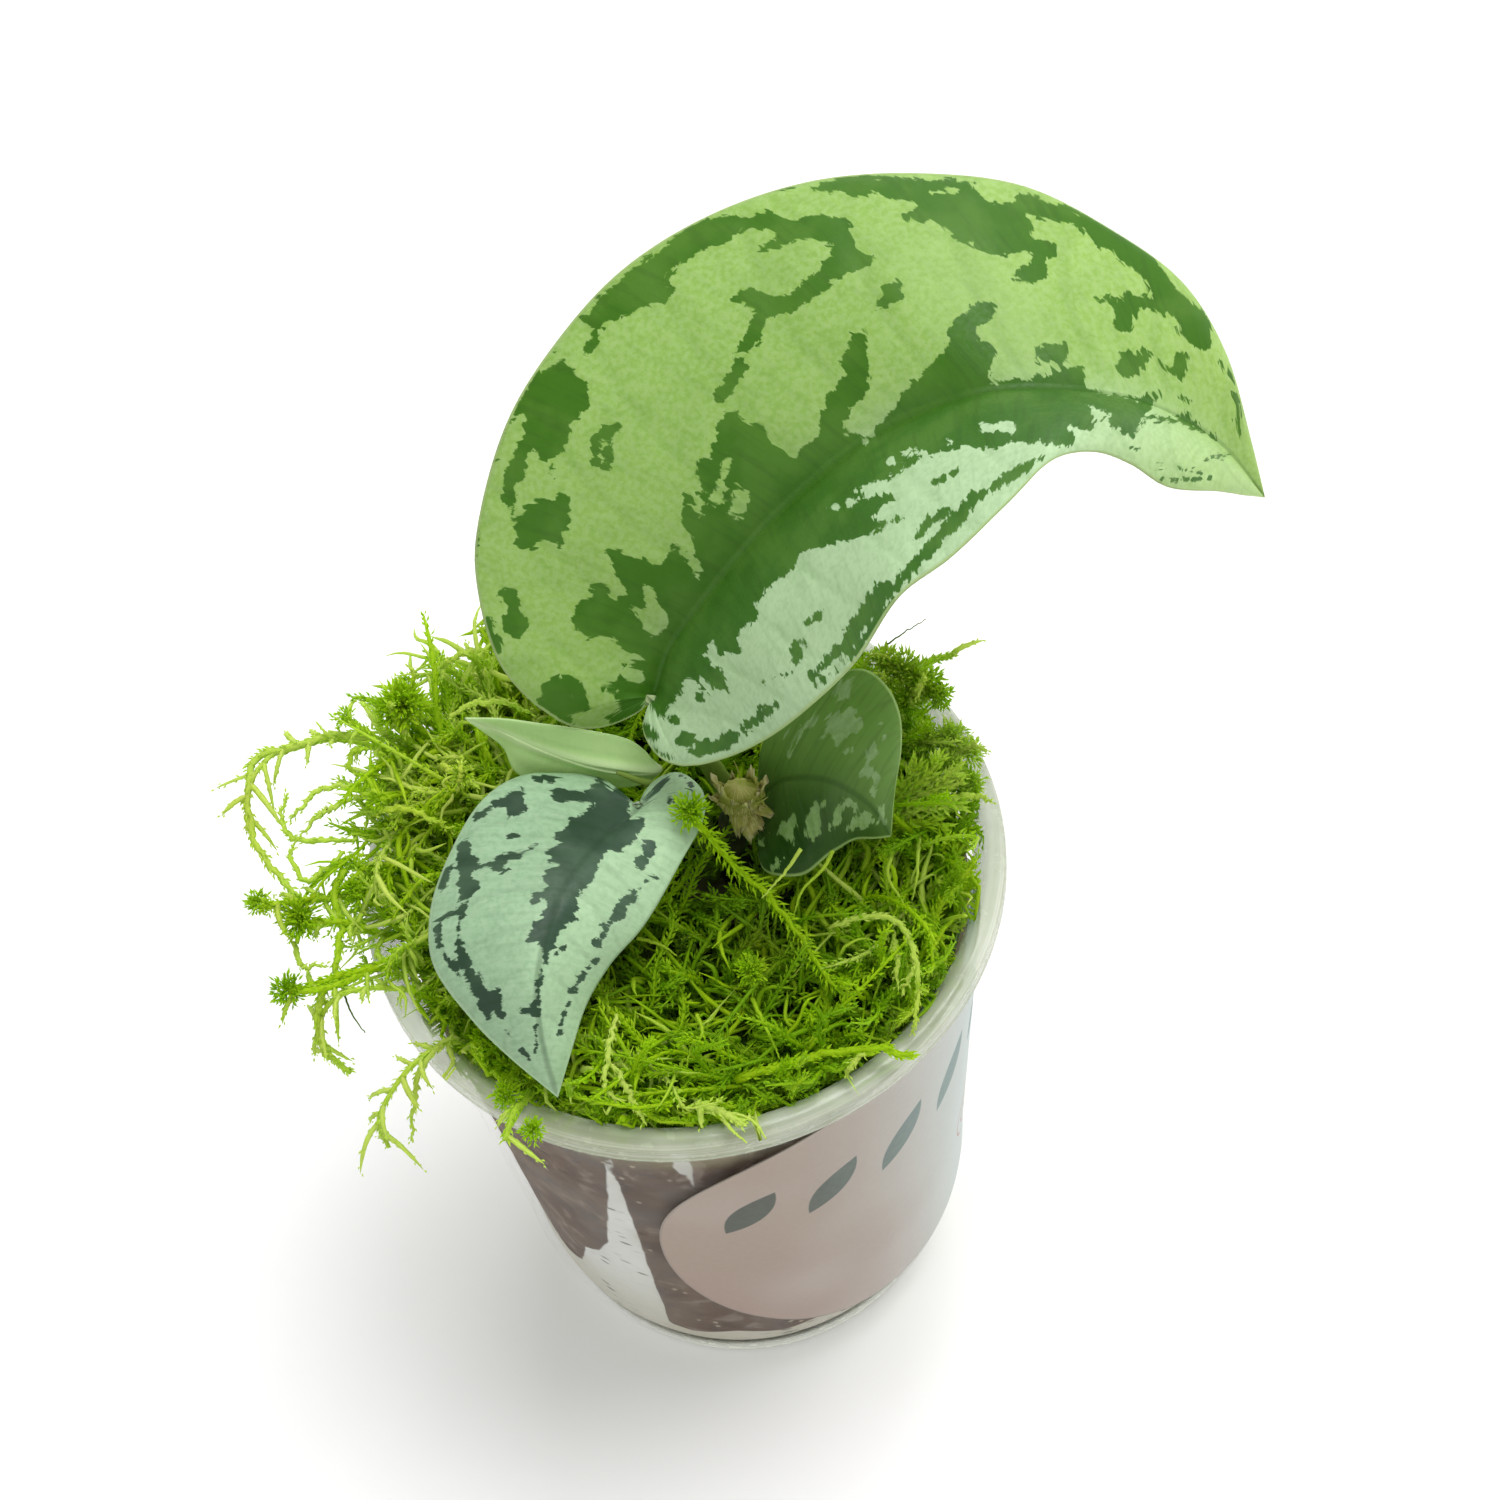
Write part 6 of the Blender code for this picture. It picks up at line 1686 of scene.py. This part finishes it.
line = smooth_path(STEM_PATH, 70)
radii = np.linspace(1.0, 0.75, 70) * STEM_RADIUS
for joint in (0.55, 0.72, 0.88):
    radii += 0.22 * np.exp(-(((np.linspace(0, 1, 70) - joint) / 0.015) ** 2))
stem = Bunch()
stem_points, stem_quads, stem_caps = tubes(line[None], radii[None], 24)
stem.add(stem_points, [stem_quads, stem_caps])
stem.make("Stem", bark_skin(), "stem")


def husk_skin():
    s = Skin("dry_sheath")
    streak = s.noise(1.0, 3.0, s.vector(s.maths("MULTIPLY", s.attribute("round"), 9.0), s.maths("MULTIPLY", s.attribute("tip"), 1.5)))
    blotch = s.noise(420.0, 3.0)
    colour = s.blend(s.between(streak, 0.35, 0.68), "#B0AC48", "#F0E8A4")
    colour = s.blend(s.between(blotch, 0.44, 0.62, 0.0, 0.8), colour, "#A8B43C")
    colour = s.blend(s.between(s.attribute("tip"), 0.7, 1.0, 0.0, 0.5), colour, "#F2E8BC")
    s.feed(s.shader.inputs["Base Color"], colour)
    s.shader.inputs["Roughness"].default_value = 0.75
    s.bump(streak, 0.5, 0.0002)
    s.see_through(s.blend(0.5, colour, "#E8DCA0"), 0.2)
    return s.material


def make_husk():
    """Papery flakes and fibres round a small core."""
    rng = np.random.default_rng(23)
    centre = np.array([6.6, 0.2, 75.4])
    bunch = Bunch()
    steps, rings = 28, 14
    turn = 2 * math.pi * np.arange(steps) / steps
    rows = []
    for k in range(rings):
        up = -1 + 2 * (k + 0.5) / rings
        wide = math.sqrt(1 - up * up)
        wobble = 1 + 0.10 * rng.standard_normal(steps)
        rows.append(np.stack([2.1 * wide * np.cos(turn) * wobble, 1.65 * wide * np.sin(turn) * wobble,
                              np.full(steps, 2.0 * up)], 1))
    ball = np.array(rows).reshape(-1, 3) + centre
    i = np.arange(rings - 1)[:, None] * steps
    j = np.arange(steps)[None]
    after = (j + 1) % steps
    quads = np.stack([i + j, i + after, i + steps + after, i + steps + j], -1).reshape(-1, 4)
    caps = np.array([np.arange(steps)[::-1], (rings - 1) * steps + np.arange(steps)])
    bunch.add(ball, [quads, caps], round=np.tile(turn, rings), tip=0.0)
    for k in range(17):
        angle = 2 * math.pi * k / 13 + rng.uniform(-0.2, 0.2)
        lip = k > 12
        if lip:
            angle = -1.9 + 0.45 * (k - 13)
        out = np.array([math.cos(angle) * 1.2, math.sin(angle), 0.0])
        root = centre + 1.5 * out + [0, 0, rng.uniform(-2.0, -0.6)]
        tall = -1.3 if lip else rng.uniform(1.4, 5.2)
        spread = 1.3 if lip else rng.uniform(-0.2, 1.1)
        t = np.linspace(0, 1, 10)[:, None]
        spine = root + out * spread * t**1.6 + np.array([0, 0, 1.0]) * tall * t + 0.15 * rng.standard_normal(3) * t
        side = np.array([-math.sin(angle), math.cos(angle), 0.0])
        wide = (1 - 0.8 * t**3) * rng.uniform(0.45, 1.1) + 0.05
        u = np.linspace(-1, 1, 7)[None, :, None]
        face = spine[:, None] + side * wide[:, None] * u - out * 0.35 * wide[:, None] * u * u
        face = face + out * 0.08 * rng.standard_normal((10, 7, 1))
        face[-3:] += np.array([0, 0, 1.0]) * rng.uniform(-1.1, 0.7, (1, 7, 1)) * np.array([0.2, 0.6, 1.0])[:, None, None]
        back = face - out * 0.12
        both = np.concatenate([face.reshape(-1, 3), back.reshape(-1, 3)])
        i = np.arange(9)[:, None] * 7 + np.arange(6)[None]
        quad = np.stack([i, i + 1, i + 8, i + 7], -1).reshape(-1, 4)
        loop = np.array(list(range(7)) + [7 * r + 6 for r in range(1, 10)] + [69 - c for c in range(1, 7)]
                        + [7 * r for r in range(8, 0, -1)])
        nxt = np.roll(loop, -1)
        wall = np.stack([nxt, loop, loop + 70, nxt + 70], -1)
        flap_tip = np.tile(np.repeat(np.linspace(0, 1, 10), 7), 2)
        flap_round = np.tile(np.tile(np.linspace(-1, 1, 7), 10), 2) + k
        bunch.add(both, [quad, quad[:, ::-1] + 70, wall], round=flap_round, tip=flap_tip)
    count = 26
    way = unit(rng.normal(size=(count, 3)) * [1, 1, 0.7] + [0, -0.2, -0.35])
    root = centre + way * 1.1
    paths = arcs(root, way, rng.uniform(1.2, 2.3, count), rng.uniform(-0.5, 0.5, (count, 3)), 6)
    radii = np.array([0.09, 0.08, 0.07, 0.06, 0.05, 0.02])[None] * rng.uniform(0.7, 1.6, (count, 1))
    points, quads, caps = tubes(paths, radii, 4)
    bunch.add(points, [quads, caps], round=np.repeat(rng.uniform(0, 6, count), 24), tip=0.4)
    bunch.make("DrySheath", husk_skin(), "dry_sheath")


make_husk()


# Room, light and camera
floor_mesh = bpy.data.meshes.new("Floor")
reach = 8.0
floor_mesh.from_pydata([(-reach, -reach, 0), (reach, -reach, 0), (reach, reach, 0), (-reach, reach, 0)], [], [(0, 1, 2, 3)])
floor = bpy.data.objects.new("Floor", floor_mesh)
floor.location.z = -0.00005
bpy.context.scene.collection.objects.link(floor)
floor_skin = Skin("floor_white")
floor_skin.feed(
    floor_skin.shader.inputs["Base Color"],
    floor_skin.blend(floor_skin.between(floor_skin.noise(6.0, 2.0), 0.3, 0.7), "#F4F4F3", "#F8F8F7"),
)
floor_skin.shader.inputs["Roughness"].default_value = 0.7
floor_mesh.materials.append(floor_skin.material)

world = bpy.data.worlds.new("Studio")
bpy.context.scene.world = world
world.use_nodes = True
world.node_tree.nodes["Background"].inputs["Color"].default_value = (1.0, 1.0, 1.0, 1.0)
world.node_tree.nodes["Background"].inputs["Strength"].default_value = 0.60


def area_light(name, place, target, size, power, colour=(1.0, 1.0, 1.0)):
    data = bpy.data.lights.new(name, "AREA")
    data.shape = "DISK"
    data.size = size
    data.energy = power
    data.color = colour
    made = bpy.data.objects.new(name, data)
    bpy.context.scene.collection.objects.link(made)
    here, there = np.array(place, float), np.array(target, float)
    back = unit(here - there)
    right = unit(np.cross([0.0, 0.0, 1.0], back))
    up = np.cross(back, right)
    turn = Matrix([[*row] for row in np.stack([right, up, back], 1)]).to_4x4()
    turn.translation = place
    made.matrix_world = turn


area_light("Key", (0.22, 0.10, 0.95), (0, 0, 0.07), 0.60, 6.7)
area_light("Fill", (-0.60, -0.50, 0.50), (0, 0, 0.06), 0.60, 0.9)
area_light("Side", (0.68, 0.10, 0.22), (0, 0, 0.06), 0.40, 0.8)
area_light("Low", (0.34, 0.24, 0.17), (0.02, 0.01, 0.07), 0.20, 0.05)
area_light("Back", (0.25, 0.75, 0.50), (0, 0, 0.08), 0.50, 2.2)

lens = bpy.data.cameras.new("Camera")
lens.sensor_width = 36.0
lens.lens = FOCAL / 1500.0 * 36.0
lens.clip_start = 0.01
camera = bpy.data.objects.new("Camera", lens)
bpy.context.scene.collection.objects.link(camera)
view = Matrix([[*row] for row in np.stack([RIGHTWARD, UPWARD, -AHEAD], 1)]).to_4x4()
view.translation = EYE / 1000.0
camera.matrix_world = view
bpy.context.scene.camera = camera
bpy.context.scene.view_settings.view_transform = "Standard"

bpy.context.view_layer.update()
